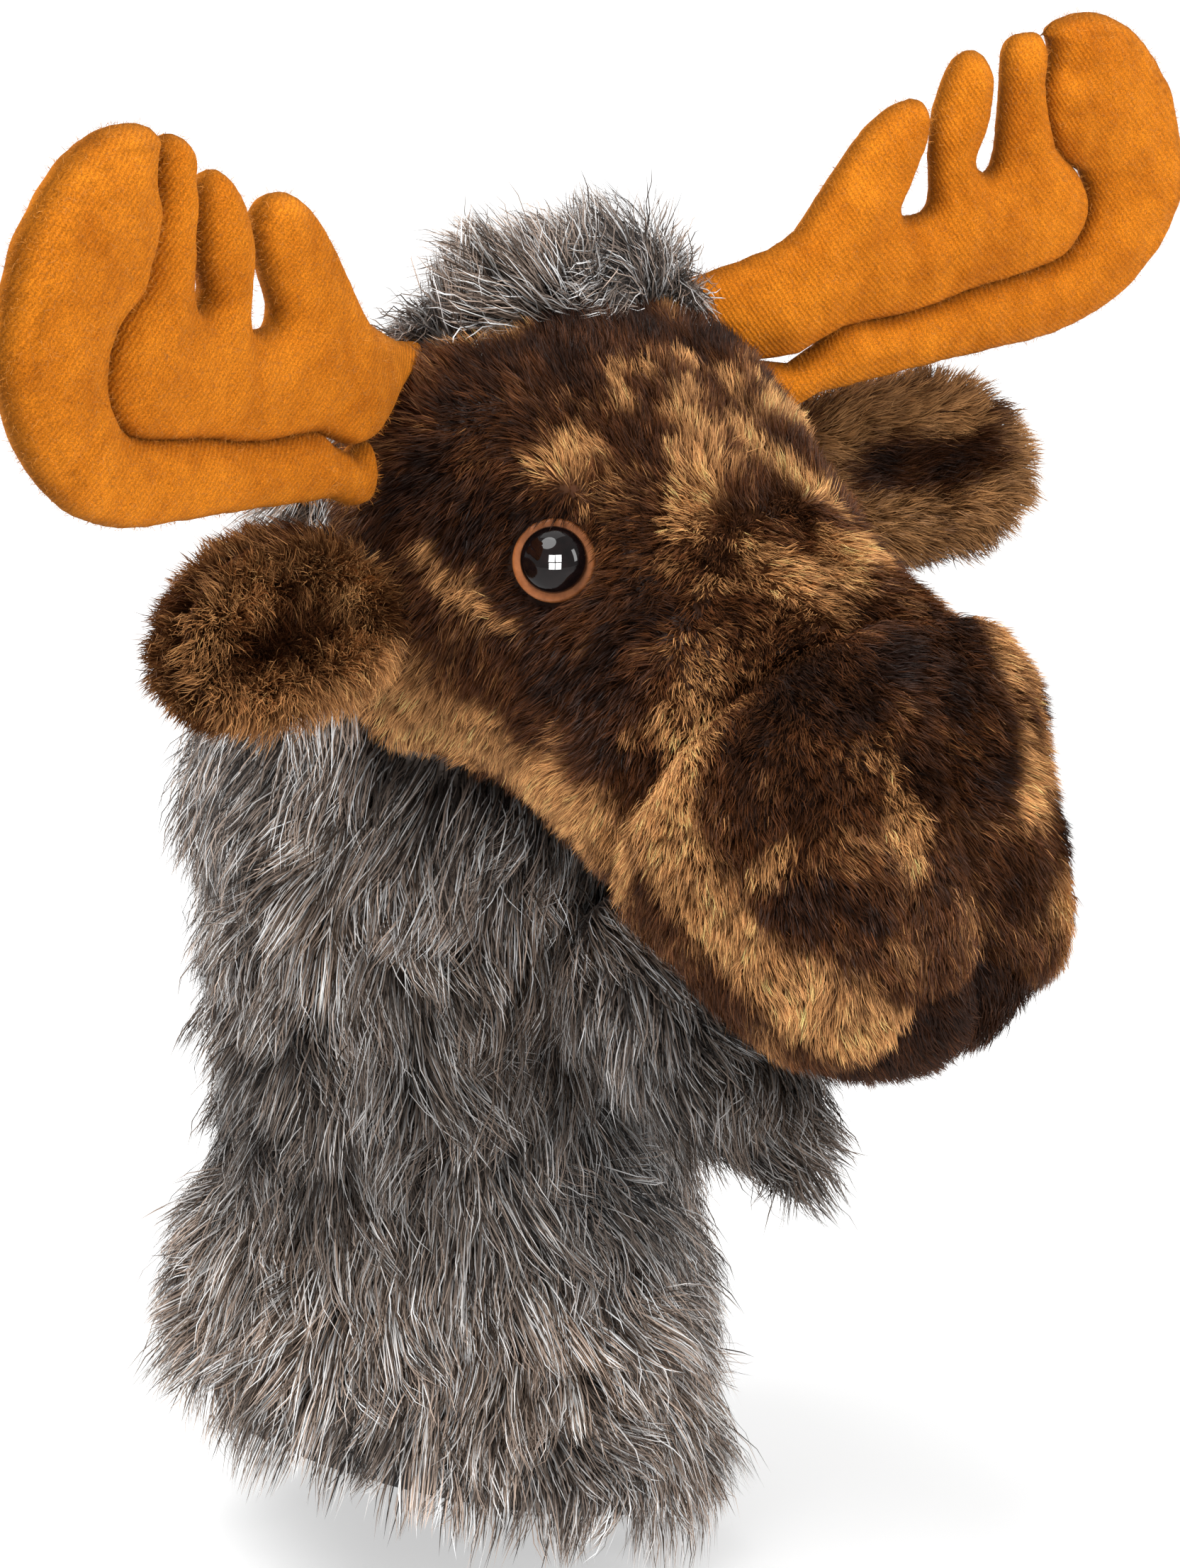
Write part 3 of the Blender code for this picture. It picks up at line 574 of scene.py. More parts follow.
def outside(tree, points, clear, back=1e3):
    """True where a point isn't deeper in the form than `clear`, or lies behind the form's open back."""
    kept = np.ones(len(points), bool)
    for i, p in enumerate(points):
        at, normal, _, _ = tree.find_nearest(p)
        kept[i] = (Vector(p) - at).dot(normal) > -clear or p[1] > back
    return kept


def grey_tones(bright=1.0, silver=0.26):
    """Grey long pile: dark roots, taupe shafts, and guard hairs that are silver to the tip."""

    def tones(roots, rng, lead):
        n = len(roots)
        lock_light = 1 + 0.34 * rng.standard_normal(n)[lead]
        # Painted shade: the pile darker in a band across the middle of the neck.
        shadow = smoothstep(-5, -45, roots[:, 2]) * smoothstep(-125, -85, roots[:, 2])
        drift = (1 + 0.20 * ripple(roots, 42.0, 5)) * (1.08 - 0.55 * shadow)
        warm = (0.5 + 0.5 * ripple(roots, 60.0, 8))[:, None] * (0.03, 0.012, 0.0)
        kind = rng.random(n)
        tip = np.where((kind < silver)[:, None], SILVER, np.array(TAUPE) * rng.uniform(0.75, 1.7, (n, 1)))
        tip = np.where((kind > 0.70)[:, None], np.array(SOOT) * rng.uniform(0.6, 2.2, (n, 1)), tip)
        light = (bright * lock_light * drift).clip(0.45, 1.7)[:, None]
        tip = (tip + warm) * light
        root = tip * 0.10 + np.array(SOOT) * 0.25
        return root.clip(0, 1), tip.clip(0, 1)

    return tones


# ---------------------------------------------------------------- head


HEAD_PILE, HEAD_FIBRES = 3.4, 3.1  # how far the head's pile carries out from its cloth, and fibres per mm2
CLOTH_THICK = 1.2  # the backing of every pile


def head_form(per_span, half_steps, inset):
    """Full rings of the head's outer surface, drawn in by the pile; with each ring's station."""
    rows = []
    for y, z, tilt, wide, above, below, power in blend_rings(HEAD_RINGS, per_span):
        tilt, wide = math.radians(tilt), max(wide, 0)
        a = np.linspace(0, math.pi, half_steps + 1)
        c, s = np.cos(a), np.sin(a)
        x = wide * np.abs(s) ** (2 / power)
        h = np.where(c > 0, above, below) * np.abs(c) ** (2 / power) * np.sign(c)
        rows.append(np.stack([x, y - h * math.sin(tilt), z + h * math.cos(tilt)], axis=1))
    rows = np.array(rows)
    full = np.concatenate([rows, rows[:, 1:-1][:, ::-1] * (-1, 1, 1)], axis=1)
    normals = grid_normals(full)
    station = np.arange(len(full)) / per_span
    spread = unit(full - np.array(MUZZLE_HEART))
    share = np.clip((station - HEART_STATION) / 2, 0, 1)[:, None, None]
    normals = unit(normals * (1 - share) + spread * share)
    x, y, z = full[..., 0], full[..., 1], full[..., 2]
    crease = CREASE_DEPTH * np.exp(-((x / CREASE_WIDTH) ** 2)) * np.clip((-y - 120) / 50, 0, 1)
    crease += 4.5 * np.exp(-((x / 3.5) ** 2)) * np.clip((-y - 172) / 15, 0, 1)
    seam = 2.6 * np.exp(-(((station[:, None] - SEAM_STATION) / 0.13) ** 2))
    lip = LIP_INSET * smoothstep(-2.5, 2.5, lip_depth(full)) * smoothstep(14, 4, lip_depth(full))
    mouth = 3.0 * np.exp(-((lip_depth(full) / 3.0) ** 2)) * (y < MOUTH_BACK)
    eye = np.linalg.norm(folded(full) - EYE_AT, axis=-1)
    dent = 2.2 * np.exp(-((eye / 13.0) ** 2)) - 1.6 * np.exp(-(((eye - 22) / 7.0) ** 2)) * (z > EYE_AT[2])
    soft = 0.9 * ripple(full, 38.0, 11) + 0.4 * ripple(full, 17.0, 12)
    brow = smoothstep(5.5, 5.8, station) * smoothstep(8.0, 6.6, station)
    full_top = 6.5 * brow[:, None] * smoothstep(-0.1, 0.6, normals[..., 2])
    full_chin = 6.5 * smoothstep(7.0, 9.0, station)[:, None] * smoothstep(0.1, 0.8, -normals[..., 2])
    slim = 3.5 * smoothstep(6.0, 7.2, station)[:, None] * smoothstep(0.25, 0.8, normals[..., 0])
    depth = inset + seam + lip + mouth + dent + soft + slim - full_top - full_chin
    full = full - normals * depth[..., None]
    full[..., 1] += 0.85 * crease
    full[..., 2] += 0.2 * crease
    return full, normals, station


def lip_depth(points):
    """How far below the mouth line a point lies; the line peaks in the middle and drops at both corners."""
    x = points[..., 0]
    line = MOUTH_TOP - np.where(x > 0, 0.50, 0.15) * np.abs(x) - 3.5 * np.maximum(np.abs(x) - 30, 0)
    return np.where(points[..., 1] < MOUTH_BACK, (line - points[..., 2]) * 0.6, -50.0)


def mark_share(points, marks):
    """How strongly any of the marks colours each point, from 0 to 1: pile colour and painted light alike."""
    best = np.zeros(len(points))
    for line, wide in marks:
        near = closest(folded(points), np.array(line, float))[1]
        best = np.maximum(best, 1 - smoothstep(0.55, 1.45, near / wide))
    return best


def three_tone(score):
    """Espresso through chestnut to tan."""
    low, high = np.clip(score * 2, 0, 1)[:, None], np.clip(score * 2 - 1, 0, 1)[:, None]
    return (np.array(ESPRESSO) * (1 - low) + np.array(CHESTNUT) * low) * (1 - high) + np.array(TAN) * high


def head_score(roots):
    strayed = roots + drift(roots, 16.0, 21, 3.0)
    # Tan marks and the left rim lighten the pile (own tan and painted highlight); dark marks darken it (own dark and
    # painted shade).
    light = mark_share(strayed, TAN_AND_HIGHLIGHT_MARKS)
    light = np.maximum(light, mark_share(strayed, LEFT_RIM_HIGHLIGHT_MARKS) * (roots[:, 0] > 0))
    dark = mark_share(strayed, DARK_AND_SHADE_MARKS)
    score = 0.34 + 0.12 * ripple(roots, 24.0, 31) + 0.52 * light - 0.30 * dark * (1 - 0.7 * light)
    # Below the mouth line the pile is painted dark, darkest at the line: painted shade in the mouth under the
    # muzzle.
    return np.where(lip_depth(roots) > 0, 0.06 + 0.3 * smoothstep(8, 20, lip_depth(roots)), score)


def head_tones(roots, rng, lead):
    n = len(roots)
    score = head_score(roots) + 0.10 * rng.standard_normal(n) + 0.05 * rng.standard_normal(n)[lead]
    lock_light = (1 + 0.22 * rng.standard_normal(n)[lead]).clip(0.5, 1.5)[:, None]
    tip = three_tone(np.clip(score + 0.08, 0, 1)) * rng.uniform(0.65, 1.35, (n, 1)) * lock_light
    root = three_tone(np.clip(score * 0.42 - 0.03, 0, 1))
    return root, tip.clip(0, 1)


def head_comb(roots, normals):
    """Down and forward on the muzzle, back over the cheeks, up and back on the forehead."""
    muzzle = smoothstep(100, 135, -roots[:, 1])[:, None]
    top = smoothstep(0.35, 0.85, normals[:, 2])[:, None] * (1 - muzzle)
    way = muzzle * (0, -0.35, -1) + (1 - muzzle) * ((1 - top) * (0, 0.55, -0.85) + top * (0, 1, 0.1))
    return flat_to(normals, way + drift(roots, 30.0, 41, 0.35))


def make_head(neck_tree):
    full, normals, station = head_form(8, 44, HEAD_PILE)
    rings, steps = full.shape[:2]
    flat, flat_normals = full.reshape(-1, 3), normals.reshape(-1, 3)
    faces = facing_out(flat, grid_faces(rings, steps), flat_normals)
    centre = flat[faces].mean(1)
    middle_station = station[faces // steps].mean(1)
    lip = lip_depth(centre) > 0
    left = centre[:, 0] > 0
    regions = {}
    for tag, side in (("left", left), ("right", ~left)):
        regions["face_panel_" + tag] = side & (middle_station < SEAM_STATION)
        regions["muzzle_panel_" + tag] = side & (middle_station >= SEAM_STATION) & ~lip
    regions["lower_lip_panel"] = lip
    rng = np.random.default_rng(101)
    for name, chosen in regions.items():
        part = faces[chosen]
        used, index = np.unique(part, return_inverse=True)
        corners = index.reshape(part.shape)
        skin = piece(name + "_cloth", flat[used], corners, LOOKS["brown"], "head", (name,))
        paint(skin.data, three_tone(np.clip(head_score(flat[used]) * 0.6, 0, 1)) * 0.8)
        thicken(skin, CLOTH_THICK)
        count = int(quad_area(flat, part) * HEAD_FIBRES)
        root, normal = sample(flat, part, flat_normals, count, rng)
        off_eye = np.linalg.norm(folded(root) - EYE_AT, axis=1)
        kept = outside(neck_tree, root, 4.0) & (off_eye > EYE_CLEARING)
        root, normal = root[kept], normal[kept]
        grow(name + "_pile", "head", LOOKS["brown"], root, normal, head_comb(root, normal), rng, head_tones,
             length=6.6, width=0.30, levels=2, lean=(0.30, 0.74), lock=18, pull=0.5, frizz=0.25,
             uneven=0.16, wander=0.15, replaced=(name,))


# ---------------------------------------------------------------- neck, nape and crown


def hem_shear(points):
    """Tilts the hem plane and leaves everything above the waist as it is."""
    points = np.array(points, float)
    share = np.clip((HEM_BLEND_TOP - points[..., 2]) / (HEM_BLEND_TOP - HEM_Z), 0, 1) ** 1.5
    points[..., 2] += share * (HEM_SLOPE_X * points[..., 0] + HEM_SLOPE_Y * points[..., 1])
    return points


NECK_PILE, NECK_STEPS = 15.0, 120  # how far the standing fibres carry out from the cloth; points in a ring
REAR_LEFT_FOLD, FRONT_RIGHT_FOLD = math.radians(-43.5), math.radians(136.5)


def turn_between(a, b):
    return np.abs((a - b + math.pi) % (2 * math.pi) - math.pi)


def neck_form(low, high, inset, steps=NECK_STEPS, every=3.0):
    """Rings of the neck between two heights, with its folds and its wavy hem, drawn in by `inset`."""
    table = blend_rings(NECK_RINGS, 4)
    count = max(2, int(round((high - low) / every)) + 1)
    angle = np.linspace(0, 2 * math.pi, steps, endpoint=False)
    rows = []
    for z in np.linspace(low, high, count):
        middle, wide, deep = (np.interp(z, table[:, 0], table[:, c]) for c in (1, 2, 3))
        draw = min(inset, 0.7 * min(wide, deep))
        x, y = (wide - draw) * np.sin(angle), middle + (deep - draw) * np.cos(angle)
        rows.append(np.stack([x, y, np.full(steps, z)], axis=1))
    grid = np.array(rows)
    z = grid[..., 2]
    body = smoothstep(120, 60, z)
    fold = 2.6 * ripple(grid * (1, 1, 0.4), 52.0, 61) + 1.2 * ripple(grid * (1, 1, 0.6), 24.0, 62)
    rear = np.exp(-((turn_between(angle, REAR_LEFT_FOLD) / 0.6) ** 2))
    front = np.exp(-((turn_between(angle, FRONT_RIGHT_FOLD) / 0.55) ** 2))
    fold = fold * body - 4.0 * rear * smoothstep(-125, -90, z) * smoothstep(10, -25, z) - 1.0 * rear
    out = unit(np.stack([np.sin(angle), np.cos(angle), np.zeros(steps)], axis=1))
    grid = grid + out[None] * fold[..., None]
    hem_wave = 3.0 * np.sin(3 * angle + 0.6) + 10.0 * rear - 6.0 * front - 4.0 * np.sin(angle)
    grid[..., 2] += smoothstep(-110, -185, z) * hem_wave
    return hem_shear(grid)


def loft_faces(grid):
    points, normals = grid.reshape(-1, 3), grid_normals(grid).reshape(-1, 3)
    return points, facing_out(points, grid_faces(*grid.shape[:2]), normals), normals


def neck_comb(roots, normals):
    """Down the neck, fanning outwards below the ears, with locks that wander from side to side."""
    fan = smoothstep(-60, 10, roots[:, 2]) * smoothstep(110, 40, roots[:, 2])
    outward = unit(np.stack([roots[:, 0], np.maximum(roots[:, 1], 0) * 0.4, np.zeros(len(roots))], axis=1))
    wander = drift(roots, 34.0, 71, 0.42) + drift(roots, 13.0, 74, 0.20)
    way = np.array([0, 0, -1.0]) + wander + outward * (0.5 * fan)[:, None]
    return flat_to(normals, way)


def grey_cloth(node, points, faces, shade):
    skin = piece(node + "_cloth", points, faces, LOOKS["grey"], "head", (node,))
    paint(skin.data, np.tile(np.array(TAUPE) * shade, (len(points), 1)))
    return skin


def make_neck(head_tree):
    sock = neck_form(HEM_Z + 13, SOCK_TOP, NECK_PILE)
    nape = neck_form(SOCK_TOP, NAPE_TOP, NECK_PILE)
    rng = np.random.default_rng(202)
    for name, grid, shares, per_area in (("neck_sock_fur", sock, 4, 1.15), ("nape_fur", nape, 2, 1.0)):
        points, faces, normals = loft_faces(grid)
        thicken(grey_cloth(name, points, faces, 0.35), CLOTH_THICK)
        for share in range(shares):
            part = faces[(faces[:, 0] % NECK_STEPS) * shares // NECK_STEPS == share]
            count = int(quad_area(points, part) * per_area)
            root, normal = sample(points, part, normals, count, rng)
            kept = outside(head_tree, root, 1.0, HEAD_BACK)
            root, normal = root[kept], normal[kept]
            comb = neck_comb(root, normal)
            grow(f"{name}_pile_{share + 1}", "head", LOOKS["grey"], root, normal, comb, rng, grey_tones(),
                 length=25.0, width=0.42, levels=4, lean=(0.42, 0.93), lock=34, pull=0.74,
                 frizz=0.45, replaced=(name,))


CROWN_PILE, CROWN_LEAN, CROWN_FIBRES = 10.5, 7.0, 20000
CAP_ANGLES, CAP_HIGH = np.radians((18, 36, 52, 66, 78, 89)), 5.0


def make_crown(head_tree):
    """The mane between the antlers: the neck's form carried up, leaning left, and closed by a low cap."""
    grid = neck_form(NAPE_TOP - 4, CROWN_TOP - 17, CROWN_PILE, every=2.5)
    grid[..., 0] += CROWN_LEAN * smoothstep(120, 140, grid[..., 2])
    top, middle = grid[-1], grid[-1].mean(0)
    cap = [middle + (top - middle) * math.cos(a) + (0, 0, CAP_HIGH * math.sin(a)) for a in CAP_ANGLES]
    points, faces, normals = loft_faces(np.concatenate([grid, cap]))
    grey_cloth("crown_mane", points, faces, 0.35)
    rng = np.random.default_rng(303)
    root, normal = sample(points, faces, normals, CROWN_FIBRES, rng)
    kept = outside(head_tree, root, 2.0, HEAD_BACK)
    root, normal = root[kept], normal[kept]
    comb = flat_to(normal, np.array([-0.45, 1.0, 0.0]) + drift(root, 22.0, 81, 0.7))
    grow("crown_mane_pile", "head", LOOKS["grey"], root, normal, comb, rng, grey_tones(0.95, 0.24),
         length=21.0, width=0.38, levels=5, lean=(0.56, 1.0), lock=26, pull=0.65, frizz=0.45, wander=0.15, curl=0.18,
         replaced=("crown_mane",))


BELL_DROP, BELL_FIBRES = 2.0, 15000


def make_bell(head_tree, neck_tree):
    """The tuft under the chin: leaning rings that narrow towards its tip, drawn in by their pile."""
    first = BELL_RINGS[0][0]
    angle = np.linspace(0, 2 * math.pi, 48, endpoint=False)
    rows = []
    for y, z, wide, high in blend_rings(BELL_RINGS, 6):
        y, z = first + (y - first) * BELL_REACH, z - BELL_DROP
        x, h = max(wide - 8, 1.5) * np.sin(angle), max(high - 5, 1.0) * np.cos(angle)
        rows.append(np.stack([x, y - h * math.sin(BELL_TILT), z + h * math.cos(BELL_TILT)], axis=1))
    points, faces, normals = loft_faces(np.array(rows))
    grey_cloth("chin_bell", points, faces, 0.3)
    rng = np.random.default_rng(404)
    root, normal = sample(points, faces, normals, BELL_FIBRES, rng)
    kept = outside(head_tree, root, 1.0) & outside(neck_tree, root, 3.0)
    root, normal = root[kept], normal[kept]
    comb = flat_to(normal, np.array([0.0, -0.55, -0.83]) + drift(root, 26.0, 91, 0.35))
    grow("chin_bell_pile", "head", LOOKS["grey"], root, normal, comb, rng, grey_tones(0.85), length=22.0,
         width=0.42, levels=4, lean=(0.50, 0.95), lock=24, pull=0.65, frizz=0.6,
         replaced=("chin_bell",))


# ---------------------------------------------------------------- ears


def ear_frame(sign):
    outward = np.array([math.cos(EAR_SWEEP) * sign, -math.sin(EAR_SWEEP), 0])
    level_back = np.array([math.sin(EAR_SWEEP) * sign, math.cos(EAR_SWEEP), 0])
    up = np.array([0, 0, 1.0]) * math.cos(EAR_LEAN) + level_back * math.sin(EAR_LEAN)
    back = level_back * math.cos(EAR_LEAN) - np.array([0, 0, 1.0]) * math.sin(EAR_LEAN)
    at = np.array(EAR_ROOT) * (sign, 1, 1)
    return at, np.stack([outward, up, back])


def ear_leaf(thick, direction, hollow, half_wide, rings=44, steps=40, inset=7.5):
    """One layer of the ear, along its length and across, in the ear's own frame."""
    grid = np.zeros((rings, steps + 1, 3))
    for i, u in enumerate(np.linspace(0, 1, rings)):
        swell = 0.5 + 0.5 * math.sin(math.pi * min(u * 1.25, 0.5)) if u < 0.4 else 1.0
        end = math.sqrt(max(0.0, 1 - max(0.0, (u - 0.62) / 0.38) ** 2))
        start = math.sqrt(max(0.0, 1 - max(0.0, (0.10 - u) / 0.10) ** 2))
        wide = (half_wide - inset) * swell * max(end, 0.02) * max(start, 0.35)
        deep = (thick - inset) * (0.62 + 0.38 * min(1, u * 3)) * max(end, 0.05) ** 0.8 * max(start, 0.3)
        v = np.sin(np.linspace(-1, 1, steps + 1) * math.pi / 2)
        bulge = np.sqrt(np.maximum(0.0, 1 - v * v))
        dip = hollow * np.maximum(0, 1 - (v / 0.62) ** 2) * max(0.0, 1 - ((u - 0.52) / 0.34) ** 2)
        cup = EAR_CUP * (v * v - 0.4) * (wide / half_wide)
        grid[i, :, 0] = u * (EAR_LENGTH - inset)
        grid[i, :, 1] = v * wide
        grid[i, :, 2] = direction * np.maximum(bulge * deep - dip, 0.6) - cup
    return grid


def ear_tones(inner, at, axes, bright):
    """A dark hollow inside a light rim; the back is chestnut, darker at the root. The dark of the hollow and of the
    root, where the ear meets the head, is painted shade.
    """

    def tones(roots, rng, lead):
        n = len(roots)
        local = (roots - at) @ axes.T
        middle = np.hypot((local[:, 0] - 0.50 * EAR_LENGTH) / 28.0, local[:, 1] / 10.0)
        if inner:
            # Painted shade in the ear's hollow.
            score = 0.12 + 0.58 * smoothstep(0.65, 1.35, middle)
        else:
            score = 0.30 + 0.22 * smoothstep(5, 40, local[:, 0])
        score = score + 0.12 * ripple(roots, 20.0, 33) + 0.10 * rng.standard_normal(n)
        # Painted shade: darker near the root, where the ear meets the head.
        score = score + 0.05 * rng.standard_normal(n)[lead] - 0.25 * smoothstep(16, 2, local[:, 0])
        tip = three_tone(np.clip(score + 0.12, 0, 1)) * rng.uniform(0.7, 1.4, (n, 1)) * bright
        return three_tone(np.clip(score * 0.4 - 0.02, 0, 1)), tip.clip(0, 1)

    return tones


# Each ear's half width, the brightness of its pile, how far it sits from the part's own place, and how far
# its back layer stands above its front one.
# The left ear's pile is painted at about half the right one's brightness: painted shade.
EARS = dict(left=(30.0, 0.5, (3.0, 0.0, 7.0), 0.0), right=(EAR_HALF_WIDE, 0.95, (5.0, 0.0, 1.5), 5.0))
EAR_FIBRES = 15000


def make_ear(sign, tag):
    at, axes = ear_frame(sign)
    rng = np.random.default_rng(500 + sign)
    half_wide, bright, moved, back_raised = EARS[tag]
    at = at + moved
    layers = ("back", EAR_BACK_THICK, 1, 0.0), ("front", EAR_FRONT_THICK, -1, 7.0)
    for layer, thick, direction, hollow in layers:
        grid = ear_leaf(thick, direction, hollow, half_wide)
        if layer == "back":
            grid[..., 1] += back_raised * smoothstep(90, 40, grid[..., 0])
        points = grid.reshape(-1, 3) @ axes + at
        normals = grid_normals(grid, closed=False)
        normals *= np.sign((normals[..., 2] * direction).sum())
        normals = normals.reshape(-1, 3) @ axes
        faces = facing_out(points, grid_faces(*grid.shape[:2], closed=False), normals)
        node = f"ear_{layer}_{tag}"
        skin = piece(node + "_cloth", points, faces, LOOKS["brown"], "ear_" + tag, (node,))
        paint(skin.data, np.tile(three_tone(np.array([0.25])), (len(points), 1)))
        thicken(skin, 0.8)
        root, normal = sample(points, faces, normals, EAR_FIBRES, rng)
        local = (root - at) @ axes.T
        way = unit(np.stack([0.8 + 0 * local[:, 0], local[:, 1] * 0.035, 0 * local[:, 0]], axis=1)) @ axes
        comb = flat_to(normal, way + drift(root, 20.0, 95, 0.35) + (0, 0, -0.35))
        grow(node + "_pile", "ear_" + tag, LOOKS["brown"], root, normal, comb, rng,
             ear_tones(layer == "front", at, axes, bright),
             length=9.0, width=0.30, levels=3, lean=(0.24, 0.70), lock=20, pull=0.55, frizz=0.35,
             uneven=0.2, wander=0.18, replaced=(node,))


# ---------------------------------------------------------------- antlers


def smooth_outline(points, per_span):
    p = np.array(points, float)
    before, after, far = np.roll(p, 1, 0), np.roll(p, -1, 0), np.roll(p, -2, 0)
    rows = [catmull_rom(before, p, after, far, k / per_span) for k in range(per_span)]
    return np.stack(rows, axis=1).reshape(-1, 2)


def looped(outline):
    return np.concatenate([outline, outline[:1]])


def edge_distance(points, outline):
    return closest(points, looped(outline))[1]


def inside_outline(points, outline):
    x, y = points[:, 0], points[:, 1]
    hits = np.zeros(len(points), int)
    for (ax, ay), (bx, by) in zip(outline, np.roll(outline, -1, 0)):
        crosses = (ay > y) != (by > y)
        at = ax + (y - ay) * (bx - ax) / (by - ay if by != ay else 1e-9)
        hits += crosses & (x < at)
    return hits % 2 == 1


def slab(outline, spacing, half_thick, roundness=2.0, reach=1.9):
    """Both faces of a stuffed outline, meeting in a seam: points, triangles and each point's way to the seam."""
    low, high = outline.min(0), outline.max(0)
    rows = np.arange(low[1], high[1], spacing * 0.87)
    inner = np.array([
        (x + (spacing / 2 if i % 2 else 0), y)
        for i, y in enumerate(rows)
        for x in np.arange(low[0], high[0], spacing)
    ])
    inner = inner[inside_outline(inner, outline)]
    inner = inner[edge_distance(inner, outline) > spacing * 0.6]
    flat = np.concatenate([outline, inner])
    n = len(outline)
    ring = [(i, (i + 1) % n) for i in range(n)]
    verts, _, tris, _, _, _ = delaunay_2d_cdt([Vector(p) for p in flat], ring, [list(range(n))], 1, 1e-5)
    flat = np.array([tuple(v) for v in verts])
    tris = np.array([t for t in tris if len(t) == 3])
    away = edge_distance(flat, outline)
    rim = away < 1e-3
    share = 1 - np.clip(away / (half_thick * reach), 0, 1)
    high = half_thick * (1 - share**roundness) ** (1 / roundness)
    count = len(flat)
    lower = np.where(rim, np.arange(count), np.arange(count) + count)
    points = np.concatenate([np.column_stack([flat, high]), np.column_stack([flat, -high])])
    a, b, c = (flat[tris[:, k]] for k in range(3))
    turn = (b - a)[:, 0] * (c - a)[:, 1] - (b - a)[:, 1] * (c - a)[:, 0]
    tris[turn < 0] = tris[turn < 0][:, ::-1]
    faces = np.concatenate([tris, lower[tris][:, ::-1]])
    used, index = np.unique(faces, return_inverse=True)
    return points[used], index.reshape(-1, 3), np.concatenate([away, away])[used]


def stuffed(points, faces, away, pressure, cap):
    """The slab blown up as sewn cloth: the seam is held and the faces swell, by `cap` at most."""
    mesh = bpy.data.meshes.new("stuffing")
    mesh.from_pydata((points * MM).tolist(), [], faces.tolist())
    ob = bpy.data.objects.new("stuffing", mesh)
    bpy.context.scene.collection.objects.link(ob)
    seam = ob.vertex_groups.new(name="seam")
    seam.add(np.flatnonzero(away < 0.05).tolist(), 1.0, "REPLACE")
    cloth = ob.modifiers.new("cloth", "CLOTH")
    cloth.settings.vertex_group_mass = "seam"
    cloth.settings.use_pressure = True
    cloth.settings.uniform_pressure_force = pressure
    cloth.settings.quality = 6
    cloth.settings.effector_weights.gravity = 0
    scene = bpy.context.scene
    for f in range(1, 21):
        scene.frame_set(f)
    graph = bpy.context.evaluated_depsgraph_get()
    result = ob.evaluated_get(graph).to_mesh()
    moved = np.empty(len(points) * 3, np.float32)
    result.vertices.foreach_get("co", moved)
    bpy.data.objects.remove(ob)
    scene.frame_set(1)
    shift = moved.reshape(-1, 3).astype(float) / MM - points
    far = np.linalg.norm(shift, axis=1, keepdims=True)
    return points + shift * np.minimum(1, cap / np.maximum(far, 1e-6))


def antler_frame(sign):
    outward = np.array([math.cos(ANTLER_SWEEP) * sign, -math.sin(ANTLER_SWEEP), 0])
    up = np.array([0, -math.sin(ANTLER_TIP_IN), math.cos(ANTLER_TIP_IN)])
    up = unit(up - (up @ outward) * outward)
    through = np.cross(outward, up)
    at = np.array(ANTLER_BASE) * (sign, 1, 1) + outward * ANTLER_OUT
    return at, np.stack([outward, up, through])


def by_hand(edge, sign):
    """The left antler is sewn a little shorter than the right one, with its tines leaning in."""
    if sign < 0:
        return edge
    x, y = edge.T
    outer, high = smoothstep(70, 140, x), smoothstep(25, 60, y)
    second_tine = np.exp(-(((x - 68) / 11) ** 2))
    shift = -10.0 + 5.0 * outer * (1 - 0.8 * high) - 4.0 * high * second_tine
    lift = high * (4.5 * second_tine - 2.5 * smoothstep(76, 90, x))
    return np.column_stack([x + shift, y + lift])


def antler_outlines(sign):
    """Palm and hook, drawn up to each other along their common seam, with the hook tucked under the palm."""
    palm, hook = (by_hand(smooth_outline(table, 3), sign) for table in (PALM, HOOK))
    made = []
    for edge, other, reach, tuck in ((palm, hook, 0.1, 0.0), (hook, palm, 0.9, HOOK_TUCK)):
        on, near = closest(edge, looped(other))
        snug = 1 - smoothstep(SNUG_REACH * 0.4, SNUG_REACH * 0.7, near)
        share = (reach + tuck / np.maximum(near, 0.4)) * snug
        made.append(edge + (on - edge) * share[:, None])
    return made


def footed(points, sign):
    """The antler's foot bent back and into the head, where it is sewn in."""
    foot = by_hand(np.array([[8.0, 0.0]]), sign)[0, 0]
    share = 1 - smoothstep(foot - 16, foot + 6, points[:, 0])
    return points + share[:, None] * (-FOOT_DEPTH, 0, -sign * FOOT_BACK)


def hook_stitches(points, away):
    """A dashed line of stitches inside the hook's outer edge."""
    outer = points[:, 0] + 0.4 * points[:, 1] > 128
    return outer * np.exp(-(((away - 5.0) / 0.9) ** 2)) * (np.sin(points[:, 1] * 2.2) > -0.4)


